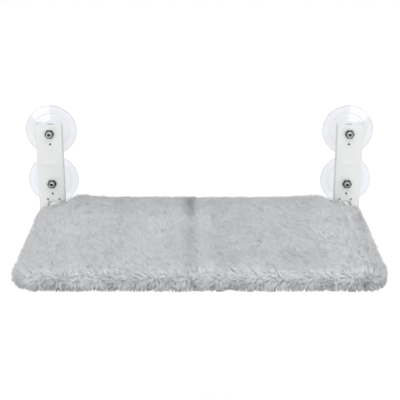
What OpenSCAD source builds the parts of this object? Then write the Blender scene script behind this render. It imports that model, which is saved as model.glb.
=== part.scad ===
// Cat perch that hangs on a window: two sheet-metal brackets with suction cups, and a padded seat on a
// tube frame that folds up on two pivot bolts. Millimetres. The glass is the plane Y = 0, the room is
// towards -Y and up is +Z. The origin is midway between the four cup centres.

/* [Suction cups] */
// Distance between the left and right cup centres
cup_span = 480; // [300:1:700]
// Distance between the upper and lower cup centres of one bracket
cup_pitch = 84; // [84:1:120]
// Outer diameter of a cup pressed on the glass
cup_d = 82; // [76:0.5:84]
// Thickness of the cup at its rim
cup_rim_t = 1.2; // [0.8:0.1:2]
// Width of the flat sealing lip on the glass
cup_lip_w = 4; // [2:0.5:8]
// Height of the hollow that is left under the pressed cup
cup_hollow_h = 1.2; // [0.6:0.1:1.6]
// Diameter of the ring step on the cup's back
cup_ring_d = 57.4; // [50:0.2:64]
// Height of the cup's back just outside the ring step
cup_ring_z = 2.8; // [2:0.1:3.4]
// Height of the ring step
cup_step_h = 0.7; // [0.3:0.1:1]
// Diameter of the moulded boss
boss_d = 26; // [22:0.5:30]
// Height of the cup's back where the boss starts
boss_root_z = 6.2; // [5:0.1:7]
// Distance from the glass to the bracket, which is the boss's height
cup_h = 20.5; // [18:0.5:26]

/* [Studs and nuts] */
// Thread diameter of the cup studs
stud_d = 8; // [6:0.5:10]
// Diameter of the stud's head inside the cup
stud_head_d = 18; // [14:0.5:20]
// Thickness of the stud's head
stud_head_t = 2.4; // [1.5:0.1:3]
// Material of the cup between the hollow and the stud's head
stud_head_cover = 4.4; // [3:0.1:6]
// Length of stud that stands out past its nut
stud_tail = 2; // [1:0.5:4]
// Width of the cup nuts across their flats
nut_af = 13; // [12.5:0.5:17]
// Height of the cup nuts
nut_h = 6; // [4:0.5:8]
// Diameter of the peg that keeps a cup from turning
peg_d = 3.2; // [2:0.1:4]
// Distance of the peg below the stud
peg_drop = 17.5; // [16:0.5:20]

/* [Wall brackets] */
// Width of the bracket's web
bracket_w = 42; // [38:0.5:50]
// Thickness of the sheet metal
sheet_t = 1.5; // [1:0.1:2]
// Depth of the flanges towards the glass, from the web's front
flange_d = 14; // [8:0.5:15]
// Height of the bracket above the upper cup's centre
bracket_above = 15; // [14:0.5:30]
// Length of the bracket below the lower cup's centre
bracket_below = 53; // [53:0.5:70]
// Offset of the bracket's middle outwards from the cup centres
bracket_shift = 1.5; // [0:0.1:3]
// Outer radius of the bends and corners
bend_r = 2.2; // [2:0.1:5]
// Length of the plain pressed stiffening bead
bead_l = 20; // [10:0.5:26]
// Distance of the bead below the middle between the bracket's cups
bead_drop = 8.5; // [0:0.5:10]
// Width of the bead
bead_w = 7; // [4:0.5:10]
// Height of the bead
bead_h = 0.6; // [0.3:0.1:1]

/* [Hinge brackets] */
// Distance of the pivot axis below the lower cup's centre
hinge_drop = 38; // [36:0.5:40]
// Distance of the pivot axis from the front of the hinge bracket's base plate
pivot_reach = 23.5; // [21:0.5:30]
// Offset of the hinge's middle inwards from the cup centres
hinge_in = 1.5; // [0:0.1:3]
// Thickness of the hinge bracket's sheet
hinge_t = 1.5; // [1:0.1:2.5]
// Width of the hinge bracket's base plate
base_w = 38; // [36:0.5:38]
// Height of the base plate above the pivot axis
base_above = 11.5; // [10.5:0.5:13]
// Height of the base plate below the pivot axis
base_below = 13.5; // [11:0.5:14]
// Height of the cheeks
cheek_h = 19; // [16:0.5:20]
// Diameter of the relief notches at the cheek roots
notch_d = 3.4; // [2:0.1:5]
// Diameter of the rivets' shanks
rivet_d = 3; // [2.4:0.1:3.6]
// Diameter of the rivets' heads
rivet_head_d = 5; // [4.4:0.1:5.2]
// Height of the rivets' heads
rivet_head_h = 1.5; // [1:0.1:2]
// Diameter of the pivot bolts
pivot_d = 6; // [5:0.5:8]
// Diameter of the pivot bolts' heads
pivot_head_d = 10.5; // [9:0.5:14]
// Height of the pivot bolts' heads
pivot_head_h = 3.3; // [2:0.1:4]
// Width of the lock nuts across their flats
lock_nut_af = 10; // [9:0.5:13]
// Height of the lock nuts
lock_nut_h = 6; // [4:0.5:8]
// Length of bolt that stands out past its lock nut
bolt_tail = 1; // [0.5:0.1:3]
// Diameter of the nylon washers
washer_d = 12; // [11:0.5:14]
// Thickness of the nylon washers
washer_t = 1; // [0.5:0.1:1.5]

/* [Seat frame] */
// Diameter of the frame tubes
tube_d = 15; // [14:0.5:16]
// Diameter of the rear tubes
rear_tube_d = 13; // [12:0.5:13.5]
// Wall of the frame tubes
tube_wall = 1.2; // [0.8:0.1:1.6]
// Distance from the pivot axis to the middle of the front tube
seat_depth = 263; // [200:1:320]
// Distance of the rear tube behind the pivot axis
rear_reach = 17; // [10:0.5:19]
// Bend radius of the front corners, to the tube's middle
front_bend_r = 30; // [26:0.5:60]
// Bend radius of the rear tube, to its middle
rear_bend_r = 70; // [66:1:90]
// Length of the rear tube's legs, which lie along the side tubes
rear_leg_l = 45; // [20:1:60]
// Length of the end plugs
plug_l = 36; // [32:0.5:60]
// Length of the joiner tubes
joiner_l = 110; // [60:1:140]
// Distance from the seat's middle to each joiner screw
joiner_screw_x = 35; // [20:1:38]
// Diameter of the joiner screws
joiner_screw_d = 4; // [3:0.5:4.5]
// Diameter of the joiner screws' heads
joiner_head_d = 7; // [6:0.5:8]

/* [Sling and pad] */
// Thickness of the sling's cloth
sling_t = 1; // [0.6:0.1:1.2]
// Thickness of the foam pad
foam_t = 8; // [6:0.5:8]
// Space round the tubes for hems and cloth
hem_room = 1.9; // [1.8:0.1:2.4]
// Length of each front hem
front_hem_l = 130; // [40:1:132]
// Distance from the seat's middle to the hems of the front and rear tubes
hem_gap_x = 60; // [57:1:70]
// Length of each rear hem
rear_hem_l = 90; // [40:1:94]
// Length of each side hem
side_hem_l = 110; // [60:1:116]

/* [Plush cover] */
// Height of the cover's top over the middle of the tubes, with its pile
cover_up = 14.5; // [14:0.5:18]
// Depth of the cover's underside below the middle of the tubes
cover_down = 11.5; // [11:0.5:16]
// Overhang of the cover outside the side tubes' middles
cover_side = 19.5; // [17:0.5:30]
// Overhang of the cover in front of the front tube's middle
cover_front = 17.5; // [16:0.5:30]
// Overhang of the cover behind the rear tube's middle
cover_rear = 16; // [13:0.5:17]
// Radius of the front corners in plan
cover_corner_r = 38; // [30:0.5:60]
// Radius of the small rear corners in plan
cover_rear_r = 16; // [12:0.5:18]
// Distance of the cover's rear side edges in front of the pivot axis, clear of the hinges
notch_reach = 15; // [13:0.5:20]
// Distance from a side tube's middle inwards to where the cut corner starts
notch_in = 13; // [12:0.5:18]
// Width of the diagonal of a cut corner
notch_w = 21; // [16:0.5:26]
// Rise of the cover's crown in the middle
crown_h = 1.6; // [0:0.1:2]
// Depth that the long edges draw in by
draw_in = 2.5; // [0:0.5:3]
// Depth of the crease across the cover's middle
crease_h = 1.8; // [0:0.1:2]
// Width of the crease
crease_w = 26; // [10:1:40]
// Thickness of the cover's plain underside cloth
base_cloth_t = 1.2; // [0.6:0.1:1.6]
// Length of the slit in the underside
slit_l = 360; // [100:1:380]
// Width of the slit
slit_w = 3; // [2:0.5:6]
// Width of the hook-and-loop tape
tape_w = 25; // [15:0.5:40]
// Thickness of the hook-and-loop tape
tape_t = 1; // [0.6:0.1:2]

/* [Hidden] */

$fn = 64;
LEFT = -1;
RIGHT = 1;
UPPER = 1;
LOWER = -1;
half = 1 / 2;
// Overrun of every cut past the faces that it opens
cut = 1;
// Radial clearance of bolts, studs and plugs in their holes
slip = 0.05;
// Clearance of a stud or peg in its sheet-metal hole, on the diameter
hole_play = 0.6;
// Clearance of a washer at the side of the turning tube
side_play = 0.1;
// Clearance of the tube's turning end from the base plate
swing_play = 0.3;

// Places
cup_x = cup_span * half;
cup_z = cup_pitch * half;
web_front = cup_h + sheet_t;
base_front = web_front + hinge_t;
bracket_x = cup_x + bracket_shift;
bracket_top = cup_z + bracket_above;
bracket_bottom = -cup_z - bracket_below;
pivot_y = -base_front - pivot_reach;
pivot_z = -cup_z - hinge_drop;
tube_x = cup_x - hinge_in;
tube_r = tube_d * half;
bore_r = tube_r - tube_wall;
rear_tube_r = rear_tube_d * half;
rear_bore_r = rear_tube_r - tube_wall;
front_y = pivot_y - seat_depth;
rear_y = pivot_y + rear_reach;
hem_r = tube_r + hem_room;
rear_hem_r = rear_tube_r + hem_room;

// Cups and studs
lip_in_r = cup_d * half - cup_lip_w;
head_z = cup_hollow_h + stud_head_cover;
stud_end = web_front + nut_h + stud_tail;
stud_hole_d = stud_d + hole_play;
peg_hole_d = peg_d + hole_play;
peg_recess = 0.5;
lug_w = peg_d * 2;
stud_chamfer = 0.8;
nut_chamfer_share = 0.93;

// Hinge
cheek_in = tube_r + side_play + washer_t;
cheek_out = cheek_in + hinge_t;
wing_rivet_z = pivot_z - base_below * half;
rivet_edge = 0.5;
rivet_inset = rivet_head_d * half + rivet_edge;
rivet_tail_share = 0.75;
rivet_tail_h = rivet_head_h * half;
swing_r = pivot_reach - swing_play;

// Rear tube
weld_gap = 0.1;
leg_x = tube_x - tube_r - weld_gap - rear_tube_r;
rear_straight_x = leg_x - rear_bend_r;
rear_bend_y = rear_y - rear_bend_r;
leg_end_y = rear_bend_y - rear_leg_l;
// Half of the gap between the frame halves where they butt
butt_gap = 0.1;

// Joiner screws
screw_head_h = 2.2;
screw_reach = 7;

// Sling, pad and cover
sling_top = pivot_z + sling_t * half;
hem_wall = 1;
hem_play = 0.2;
cavity_play = 0.1;
cavity_top = max(sling_top + foam_t, pivot_z + tube_r + hem_play + hem_wall) + cavity_play;
cavity_bottom = pivot_z - cover_down;
cover_wall = 9;
cavity_rear_y = pivot_y - notch_reach - cover_wall;
cavity_front_r = front_bend_r + hem_r;
exit_play = 0.5;
cover_x = tube_x + cover_side;
cover_front_y = front_y - cover_front;
cover_rear_y = rear_y + cover_rear;
// The cut rear corners: where the diagonal starts and ends
cut_end_x = tube_x - notch_in;
cut_start_x = cut_end_x - notch_w;
cut_end_y = pivot_y - notch_reach;
slit_inset = 60;
slit_y = rear_y - slit_inset;

// Mirrors its children to the left side when asked
module on_side(side)
{
    mirror([max(-side, 0), 0, 0])
        children();
}

// Turns a shape made along Z so that it points from the glass into the room
module into_room()
{
    rotate([90, 0, 0])
        children();
}

// A tube or rod along X from x0 with a given length, at y and z
module along_x(x0, y, z, l, r)
{
    translate([x0, y, z])
        rotate([0, 90, 0])
            cylinder(r = r, h = l);
}

// A tube or rod along Y from y0 forwards, at x and z
module along_y(x, y0, z, l, r)
{
    translate([x, y0, z])
        into_room()
            cylinder(r = r, h = l);
}

// Hex prism with chamfered corners, its bore on Z
module hex_nut(af, h, bore_d)
{
    corner_d = af / cos(30);
    difference() {
        intersection() {
            cylinder(d = corner_d, h = h, $fn = 6);
            union() {
                cylinder(d1 = corner_d * nut_chamfer_share, d2 = corner_d + h, h = h * half);
                translate([0, 0, h * half])
                    cylinder(d1 = corner_d + h, d2 = corner_d * nut_chamfer_share, h = h * half);
            }
        }
        translate([0, 0, -cut])
            cylinder(d = bore_d, h = h + 2 * cut);
    }
}

// Low round head on Z, flat side down
module dome_head(d, h)
{
    sphere_r = (d * d / 4 + h * h) / (2 * h);
    intersection() {
        cylinder(d = d, h = h);
        translate([0, 0, h - sphere_r])
            sphere(r = sphere_r);
    }
}

// Stud with its moulded-in head, on Z from the glass
module cup_stud()
{
    translate([0, 0, head_z])
        cylinder(d = stud_head_d, h = stud_head_t);
    translate([0, 0, head_z])
        cylinder(d = stud_d, h = stud_end - stud_chamfer - head_z);
    translate([0, 0, stud_end - stud_chamfer])
        cylinder(d1 = stud_d, d2 = stud_d - 2 * stud_chamfer, h = stud_chamfer);
}

// One pressed cup on Z from the glass, with the lug and peg on -Y
module suction_cup()
{
    difference() {
        union() {
            rotate_extrude()
                polygon([
                    [0, cup_hollow_h],
                    [lip_in_r, 0],
                    [cup_d * half, 0],
                    [cup_d * half, cup_rim_t],
                    [cup_ring_d * half, cup_ring_z],
                    [cup_ring_d * half, cup_ring_z + cup_step_h],
                    [boss_d * half, boss_root_z],
                    [boss_d * half, cup_h],
                    [0, cup_h]
                ]);
            translate([-lug_w * half, -peg_drop, cup_ring_z])
                cube([lug_w, peg_drop, cup_h - cup_ring_z]);
            translate([0, -peg_drop, cup_ring_z])
                cylinder(d = lug_w, h = cup_h - cup_ring_z);
            translate([0, -peg_drop, boss_root_z])
                cylinder(d = peg_d, h = web_front - peg_recess - boss_root_z);
        }
        cup_stud();
    }
}

// Places a shape made on Z at one cup's centre
module at_cup(side, level)
{
    translate([side * cup_x, 0, level * cup_z])
        into_room()
            children();
}

module cup_node(side, level)
{
    color([0.9, 0.92, 0.95, 0.5])
        at_cup(side, level)
            suction_cup();
}

module cup_studs(side)
{
    color("silver")
        for (level = [UPPER, LOWER])
            at_cup(side, level)
                cup_stud();
}

module cup_nuts(side)
{
    color("silver")
        for (level = [UPPER, LOWER])
            at_cup(side, level)
                translate([0, 0, web_front])
                    hex_nut(nut_af, nut_h, stud_d + 2 * slip);
}

// Outline of the C-shaped bracket in plan, corners rounded outside and inside
module bracket_section()
{
    inner_r = bend_r - sheet_t;
    difference() {
        union() {
            translate([-bracket_w * half, -web_front + bend_r])
                square([bracket_w, flange_d - bend_r]);
            translate([-bracket_w * half + bend_r, -web_front])
                square([bracket_w - 2 * bend_r, flange_d]);
            for (s = [LEFT, RIGHT])
                translate([s * (bracket_w * half - bend_r), -web_front + bend_r])
                    circle(r = bend_r);
        }
        translate([-bracket_w * half + sheet_t, -web_front + bend_r])
            square([bracket_w - 2 * sheet_t, flange_d]);
        translate([-bracket_w * half + bend_r, -web_front + sheet_t])
            square([bracket_w - 2 * bend_r, flange_d]);
        for (s = [LEFT, RIGHT])
            translate([s * (bracket_w * half - bend_r), -web_front + bend_r])
                circle(r = inner_r);
    }
}

// Bead outline with round ends, its middle at the origin
module bead_outline(l, w)
{
    square([l - w, w], center = true);
    for (s = [LEFT, RIGHT])
        translate([s * (l - w) * half, 0])
            circle(d = w);
}

// Relief notches at the tops of the cheek roots
module cheek_notches()
{
    for (s = [LEFT, RIGHT])
        translate([tube_x + s * (cheek_in + hinge_t * half), 0, pivot_z + (cheek_h + notch_d) * half])
            into_room()
                cylinder(d = notch_d, h = base_front + cut);
}

// Puts a shape at each hinge rivet, one in each wing of the base plate
module rivet_places()
{
    for (x = [bracket_x - base_w * half + rivet_inset, bracket_x + base_w * half - rivet_inset])
        translate([x, 0, wing_rivet_z])
            into_room()
                children();
}

module wall_bracket(side)
{
    color("white")
        on_side(side)
            difference() {
                union() {
                    translate([bracket_x, 0, bracket_bottom])
                        linear_extrude(bracket_top - bracket_bottom)
                            bracket_section();
                    translate([bracket_x, -web_front, -bead_drop])
                        into_room()
                            linear_extrude(bead_h)
                                bead_outline(bead_l, bead_w);
                }
                translate([bracket_x, -web_front + sheet_t + cut, -bead_drop])
                    into_room()
                        linear_extrude(bead_h + cut)
                            bead_outline(bead_l - 2 * bead_h, bead_w - 2 * bead_h);
                for (level = [UPPER, LOWER])
                    translate([cup_x, 0, level * cup_z])
                        into_room() {
                            cylinder(d = stud_hole_d, h = web_front + cut);
                            translate([0, -peg_drop, 0])
                                cylinder(d = peg_hole_d, h = web_front + cut);
                        }
                rivet_places()
                    cylinder(d = rivet_d + 2 * slip, h = web_front + cut);
            }
}

// One cheek of the hinge bracket: straight back part and round nose
module cheek_profile()
{
    translate([0, -cheek_h * half])
        square([pivot_reach, cheek_h]);
    circle(d = cheek_h);
}

module hinge_bracket(side)
{
    bore_l = 2 * (cheek_out + cut);
    color("white")
        on_side(side)
            difference() {
                union() {
                    translate([bracket_x - base_w * half, -base_front, pivot_z - base_below])
                        cube([base_w, hinge_t, base_above + base_below]);
                    for (x = [tube_x - cheek_out, tube_x + cheek_in])
                        translate([x, pivot_y, pivot_z])
                            rotate([90, 0, 90])
                                linear_extrude(hinge_t)
                                    cheek_profile();
                }
                along_x(tube_x - bore_l * half, pivot_y, pivot_z, bore_l, pivot_d * half + slip);
                cheek_notches();
                rivet_places()
                    cylinder(d = rivet_d + 2 * slip, h = base_front + cut);
            }
}

module hinge_rivets(side)
{
    color("white")
        on_side(side)
            rivet_places() {
                translate([0, 0, web_front - sheet_t])
                    cylinder(d = rivet_d, h = sheet_t + hinge_t);
                translate([0, 0, base_front])
                    dome_head(rivet_head_d, rivet_head_h);
                translate([0, 0, web_front - sheet_t - rivet_tail_h])
                    cylinder(d = rivet_head_d * rivet_tail_share, h = rivet_tail_h);
            }
}

// Bolt with its head on the seat's side, where the cover leaves least room
module pivot_bolt(side)
{
    shank_l = 2 * cheek_out + lock_nut_h + bolt_tail;
    color("silver")
        on_side(side) {
            along_x(tube_x - cheek_out, pivot_y, pivot_z, shank_l, pivot_d * half);
            translate([tube_x - cheek_out, pivot_y, pivot_z])
                rotate([0, -90, 0])
                    dome_head(pivot_head_d, pivot_head_h);
        }
}

module pivot_nut(side)
{
    color("silver")
        on_side(side)
            translate([tube_x + cheek_out, pivot_y, pivot_z])
                rotate([0, 90, 0])
                    hex_nut(lock_nut_af, lock_nut_h, pivot_d + 2 * slip);
}

module pivot_washers(side)
{
    color("ivory")
        on_side(side)
            for (x = [tube_x - cheek_in, tube_x + cheek_in - washer_t])
                difference() {
                    along_x(x, pivot_y, pivot_z, washer_t, washer_d * half);
                    along_x(x - cut, pivot_y, pivot_z, washer_t + 2 * cut, pivot_d * half + slip);
                }
}

// Space behind and above the pivot that the tube's rear end must leave free to turn up past the base plate
module swing_cut()
{
    difference() {
        translate([tube_x - tube_d, pivot_y, pivot_z])
            cube([2 * tube_d, pivot_reach + cut, tube_d]);
        along_x(tube_x - tube_d - cut, pivot_y, pivot_z, 2 * (tube_d + cut), swing_r);
    }
}

// Side and front tube in one bent piece, of radius r, from the rear end to the seat's middle
module side_path(r)
{
    side_front_y = front_y + front_bend_r;
    corner_x = tube_x - front_bend_r;
    along_y(tube_x, -base_front, pivot_z, -side_front_y - base_front, r);
    translate([corner_x, side_front_y, pivot_z])
        rotate([0, 0, -90])
            rotate_extrude(angle = 90)
                translate([front_bend_r, 0])
                    circle(r = r);
    along_x(butt_gap, front_y, pivot_z, corner_x - butt_gap, r);
}

module side_tube(side)
{
    color("white")
        on_side(side)
            difference() {
                side_path(tube_r);
                side_path(bore_r);
                along_y(tube_x, -base_front + cut, pivot_z, tube_d, bore_r);
                along_x(0, front_y, pivot_z, tube_d, bore_r);
                along_x(tube_x - tube_d, pivot_y, pivot_z, 2 * tube_d, pivot_d * half + slip);
                swing_cut();
                translate([joiner_screw_x, front_y, pivot_z - tube_d])
                    cylinder(d = joiner_screw_d + 2 * slip, h = tube_d);
            }
}

// Rear tube of radius r from the seat's middle, round its bend and forwards beside the side tube
module rear_path(r)
{
    along_x(butt_gap, rear_y, pivot_z, rear_straight_x - butt_gap, r);
    translate([rear_straight_x, rear_bend_y, pivot_z])
        rotate_extrude(angle = 90)
            translate([rear_bend_r, 0])
                circle(r = r);
    along_y(leg_x, rear_bend_y, pivot_z, rear_leg_l, r);
}

module rear_tube(side)
{
    color("white")
        on_side(side)
            difference() {
                rear_path(rear_tube_r);
                rear_path(rear_bore_r);
                along_x(0, rear_y, pivot_z, tube_d, rear_bore_r);
                along_y(leg_x, leg_end_y + tube_d, pivot_z, 2 * tube_d, rear_bore_r);
                translate([joiner_screw_x, rear_y, pivot_z - tube_d])
                    cylinder(d = joiner_screw_d + 2 * slip, h = tube_d);
            }
}

module end_plug(side)
{
    color("ivory")
        on_side(side)
            difference() {
                along_y(tube_x, -base_front, pivot_z, plug_l, bore_r - slip);
                along_x(tube_x - tube_d, pivot_y, pivot_z, 2 * tube_d, pivot_d * half + slip);
                swing_cut();
            }
}

// Joiner tube at y that fills a tube's bore of radius r
module joiner(y, r)
{
    color("silver")
        difference() {
            along_x(-joiner_l * half, y, pivot_z, joiner_l, r - slip);
            along_x(-joiner_l * half - cut, y, pivot_z, joiner_l + 2 * cut, r - slip - tube_wall);
            for (s = [LEFT, RIGHT])
                translate([s * joiner_screw_x, y, pivot_z - tube_d])
                    cylinder(d = joiner_screw_d + 2 * slip, h = tube_d);
        }
}

// The two screws of one joiner, driven from below into a tube of radius r at y
module joiner_screws(y, r)
{
    color("silver")
        for (s = [LEFT, RIGHT])
            difference() {
                translate([s * joiner_screw_x, y, pivot_z - r - screw_head_h]) {
                    cylinder(d = joiner_screw_d, h = screw_head_h + screw_reach);
                    cylinder(d = joiner_head_d, h = screw_head_h + tube_wall);
                }
                difference() {
                    along_x(-joiner_l, y, pivot_z, 2 * joiner_l, r);
                    translate([s * joiner_screw_x, y, pivot_z - tube_d])
                        cylinder(d = joiner_screw_d, h = 2 * tube_d);
                }
            }
}

// Points of an arc about x, y that starts straight up and turns clockwise by an angle
arc_steps = 6;
function arc(x, y, r, angle) =
    [for (i = [0 : arc_steps]) let (a = angle * i / arc_steps) [x + r * sin(a), y + r * cos(a)]];

// Plan of a panel inside the tubes, at given distances in from their middles
function frame_plan(inset, rear_inset) =
    let (
        x = tube_x - inset,
        front = front_y + inset,
        step_y = leg_end_y - rear_inset,
        corner = front_bend_r - inset
    )
    concat(
        arc(rear_straight_x, rear_bend_y, rear_bend_r - rear_inset, 90),
        [
            [leg_x - rear_inset, step_y],
            [x, step_y],
            [x, front + corner],
            [x - corner, front]
        ]
    );

// Mirrors the points of a right half into a closed outline
function both_sides(points) =
    concat(points, [for (i = [len(points) - 1 : -1 : 0]) [-points[i][0], points[i][1]]]);

module seat_sling()
{
    sleeve_in_r = tube_r + hem_play;
    sleeve_r = sleeve_in_r + hem_wall;
    rear_sleeve_in_r = rear_tube_r + hem_play;
    rear_sleeve_r = rear_sleeve_in_r + hem_wall;
    inset = sleeve_in_r + hem_wall * half;
    rear_inset = rear_sleeve_in_r + hem_wall * half;
    side_hem_y = leg_end_y - rear_tube_d;
    color("darkgray")
        difference() {
            union() {
                translate([0, 0, pivot_z - sling_t * half])
                    linear_extrude(sling_t)
                        polygon(both_sides(frame_plan(inset, rear_inset)));
                for (side = [LEFT, RIGHT])
                    on_side(side) {
                        along_x(hem_gap_x, front_y, pivot_z, front_hem_l, sleeve_r);
                        along_x(hem_gap_x, rear_y, pivot_z, rear_hem_l, rear_sleeve_r);
                        along_y(tube_x, side_hem_y, pivot_z, side_hem_l, sleeve_r);
                    }
            }
            for (side = [LEFT, RIGHT])
                on_side(side) {
                    side_path(sleeve_in_r);
                    rear_path(rear_sleeve_in_r);
                }
        }
}

module foam_pad()
{
    color("lightyellow")
        translate([0, 0, sling_top])
            linear_extrude(foam_t)
                polygon(both_sides(frame_plan(hem_r + hem_play, rear_hem_r + hem_play)));
}

// Plan of the space inside the cover, round the tubes and their hems
function cavity_plan() =
    let (
        rear_r = rear_bend_r + rear_hem_r,
        last = acos((cavity_rear_y - rear_bend_y) / rear_r),
        arc_x = tube_x - front_bend_r,
        arc_y = front_y + front_bend_r
    )
    concat(
        arc(rear_straight_x, rear_bend_y, rear_r, last),
        [[tube_x + hem_r, cavity_rear_y]],
        [for (i = [0 : arc_steps]) let (a = 90 * i / arc_steps)
            [arc_x + cavity_front_r * cos(a), arc_y - cavity_front_r * sin(a)]]
    );

// Y of the cover's front edge at x, with its round corners
function cover_front_at(x) =
    let (past = max(abs(x) - (cover_x - cover_corner_r), 0))
    cover_front_y + cover_corner_r - sqrt(max(pow(cover_corner_r, 2) - pow(past, 2), 0));

// Y of the cover's rear edge at x: drawn in along the middle, cut away towards the hinges
function cover_rear_at(x) =
    let (
        ax = abs(x),
        past = max(ax - (cover_x - cover_rear_r), 0),
        edge = cover_rear_y - draw_in * (1 - pow(min(ax / cut_start_x, 1), 2)),
        slope = (cover_rear_y - cut_end_y) / (cut_end_x - cut_start_x),
        cut_away = cover_rear_y - slope * (ax - cut_start_x),
        rounded = cut_end_y - cover_rear_r + sqrt(max(pow(cover_rear_r, 2) - pow(past, 2), 0))
    )
    ax <= cut_start_x ? edge : max(min(cut_away, cover_rear_y), rounded);

// How full the cover is at a distance in from its edge, from edge_share at the edge to 1
edge_share = 0.42;
edge_round = 11;
function fullness(d) =
    let (t = 1 - min(max(d, 0) / edge_round, 1))
    edge_share + (1 - edge_share) * sqrt(max(1 - t * t, 0));

// Places across the cover: distances in from the side edge, then even steps, then the crease
side_step_shares = [0, 0.12, 0.35, 0.8, 1.5, 2.4];
crease_shares = [0, 0.3, 0.62, 1];
inner_steps = 5;
last_step = len(side_step_shares) - 1;
half_columns = concat(
    [for (s = crease_shares) s * crease_w * half],
    let (x0 = crease_w * half, x1 = cover_x - side_step_shares[last_step] * edge_round)
        [for (i = [1 : inner_steps - 1]) x0 + (x1 - x0) * i / inner_steps],
    [for (i = [last_step : -1 : 0]) cover_x - side_step_shares[i] * edge_round]
);
columns = concat(
    [for (i = [len(half_columns) - 1 : -1 : 1]) -half_columns[i]],
    half_columns
);
// Places from front to rear, as distances in from each edge and then even steps
edge_row_shares = [0, 0.12, 0.4, 1, 1.7];
middle_rows = 5;
edge_rows = len(edge_row_shares);
rows = 2 * edge_rows + middle_rows;

function row_y(x, k) =
    let (
        f = cover_front_at(x),
        r = cover_rear_at(x),
        last = edge_row_shares[edge_rows - 1] * edge_round,
        m = (k - edge_rows + 1) / (middle_rows + 1)
    )
    k < edge_rows ? f + edge_row_shares[k] * edge_round
    : k >= rows - edge_rows ? r - edge_row_shares[rows - 1 - k] * edge_round
    : f + last + (r - f - 2 * last) * m;

function cover_fullness(x, k) =
    let (
        y = row_y(x, k),
        d_end = min(y - cover_front_at(x), cover_rear_at(x) - y)
    )
    fullness(cover_x - abs(x)) * fullness(d_end);

function cover_top(x, k) =
    let (
        y = row_y(x, k),
        mid_y = (cover_front_y + cover_rear_y) * half,
        across = 1 - pow(x / cover_x, 2),
        along = 1 - pow((y - mid_y) / (cover_rear_y - mid_y), 2),
        dip = crease_h * pow(max(1 - abs(x) / (crease_w * half), 0), 2)
    )
    pivot_z + (cover_up - crown_h + crown_h * across * max(along, 0) - dip) * cover_fullness(x, k);

function cover_under(x, k) = pivot_z - cover_down * cover_fullness(x, k);

// Closed cushion form: a top and an underside on the same columns and rows, with a low wall between
module cover_form()
{
    n = len(columns);
    m = rows;
    low = n * m;
    top = [for (x = columns) for (k = [0 : m - 1]) [x, row_y(x, k), cover_top(x, k)]];
    under = [for (x = columns) for (k = [0 : m - 1]) [x, row_y(x, k), cover_under(x, k)]];
    top_faces = [for (i = [0 : n - 2]) for (k = [0 : m - 2])
        let (a = i * m + k, b = a + 1, c = a + m + 1, d = a + m) each [[a, b, c], [a, c, d]]];
    under_faces = [for (i = [0 : n - 2]) for (k = [0 : m - 2])
        let (a = low + i * m + k, b = a + 1, c = a + m + 1, d = a + m) each [[a, c, b], [a, d, c]]];
    front_wall = [for (i = [0 : n - 2])
        let (a = i * m, d = a + m) each [[a, d, low + d], [a, low + d, low + a]]];
    rear_wall = [for (i = [0 : n - 2])
        let (a = i * m + m - 1, d = a + m) each [[a, low + d, d], [a, low + a, low + d]]];
    left_wall = [for (k = [0 : m - 2])
        let (a = k, b = k + 1) each [[a, low + b, b], [a, low + a, low + b]]];
    right_wall = [for (k = [0 : m - 2])
        let (a = (n - 1) * m + k, b = a + 1) each [[a, b, low + b], [a, low + b, low + a]]];
    polyhedron(
        points = concat(top, under),
        faces = concat(top_faces, under_faces, front_wall, rear_wall, left_wall, right_wall)
    );
}

module plush_cover()
{
    color([0.77, 0.78, 0.79])
        difference() {
            cover_form();
            translate([0, 0, cavity_bottom - cut])
                linear_extrude(cavity_top - cavity_bottom + cut)
                    polygon(both_sides(cavity_plan()));
            for (side = [LEFT, RIGHT])
                on_side(side)
                    along_y(tube_x, 0, pivot_z, -cavity_rear_y + cut, tube_r + exit_play);
        }
}

module cover_base()
{
    color("gray")
        difference() {
            translate([0, 0, cavity_bottom])
                linear_extrude(base_cloth_t)
                    polygon(both_sides(cavity_plan()));
            translate([-slit_l * half, slit_y - slit_w * half, cavity_bottom - cut])
                cube([slit_l, slit_w, base_cloth_t + 2 * cut]);
        }
}

module closure_tape()
{
    tape_l = slit_l + tape_w;
    color("dimgray")
        translate([0, slit_y, cavity_bottom - tape_t])
            linear_extrude(tape_t)
                bead_outline(tape_l, tape_w);
}

cup_node(LEFT, UPPER);  // upper_left_cup
cup_node(LEFT, LOWER);  // lower_left_cup
cup_node(RIGHT, UPPER);  // upper_right_cup
cup_node(RIGHT, LOWER);  // lower_right_cup
cup_studs(LEFT);  // left_cup_studs
cup_studs(RIGHT);  // right_cup_studs
cup_nuts(LEFT);  // left_cup_nuts
cup_nuts(RIGHT);  // right_cup_nuts
wall_bracket(LEFT);  // left_wall_bracket
wall_bracket(RIGHT);  // right_wall_bracket
hinge_bracket(LEFT);  // left_hinge_bracket
hinge_bracket(RIGHT);  // right_hinge_bracket
hinge_rivets(LEFT);  // left_hinge_rivets
hinge_rivets(RIGHT);  // right_hinge_rivets
pivot_bolt(LEFT);  // left_pivot_bolt
pivot_bolt(RIGHT);  // right_pivot_bolt
pivot_nut(LEFT);  // left_pivot_nut
pivot_nut(RIGHT);  // right_pivot_nut
pivot_washers(LEFT);  // left_pivot_washers
pivot_washers(RIGHT);  // right_pivot_washers
side_tube(LEFT);  // left_side_tube
side_tube(RIGHT);  // right_side_tube
rear_tube(LEFT);  // left_rear_tube
rear_tube(RIGHT);  // right_rear_tube
end_plug(LEFT);  // left_end_plug
end_plug(RIGHT);  // right_end_plug
joiner(front_y, bore_r);  // front_joiner
joiner(rear_y, rear_bore_r);  // rear_joiner
joiner_screws(front_y, tube_r);  // front_joiner_screws
joiner_screws(rear_y, rear_tube_r);  // rear_joiner_screws
seat_sling();
foam_pad();
plush_cover();
cover_base();
closure_tape();
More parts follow.
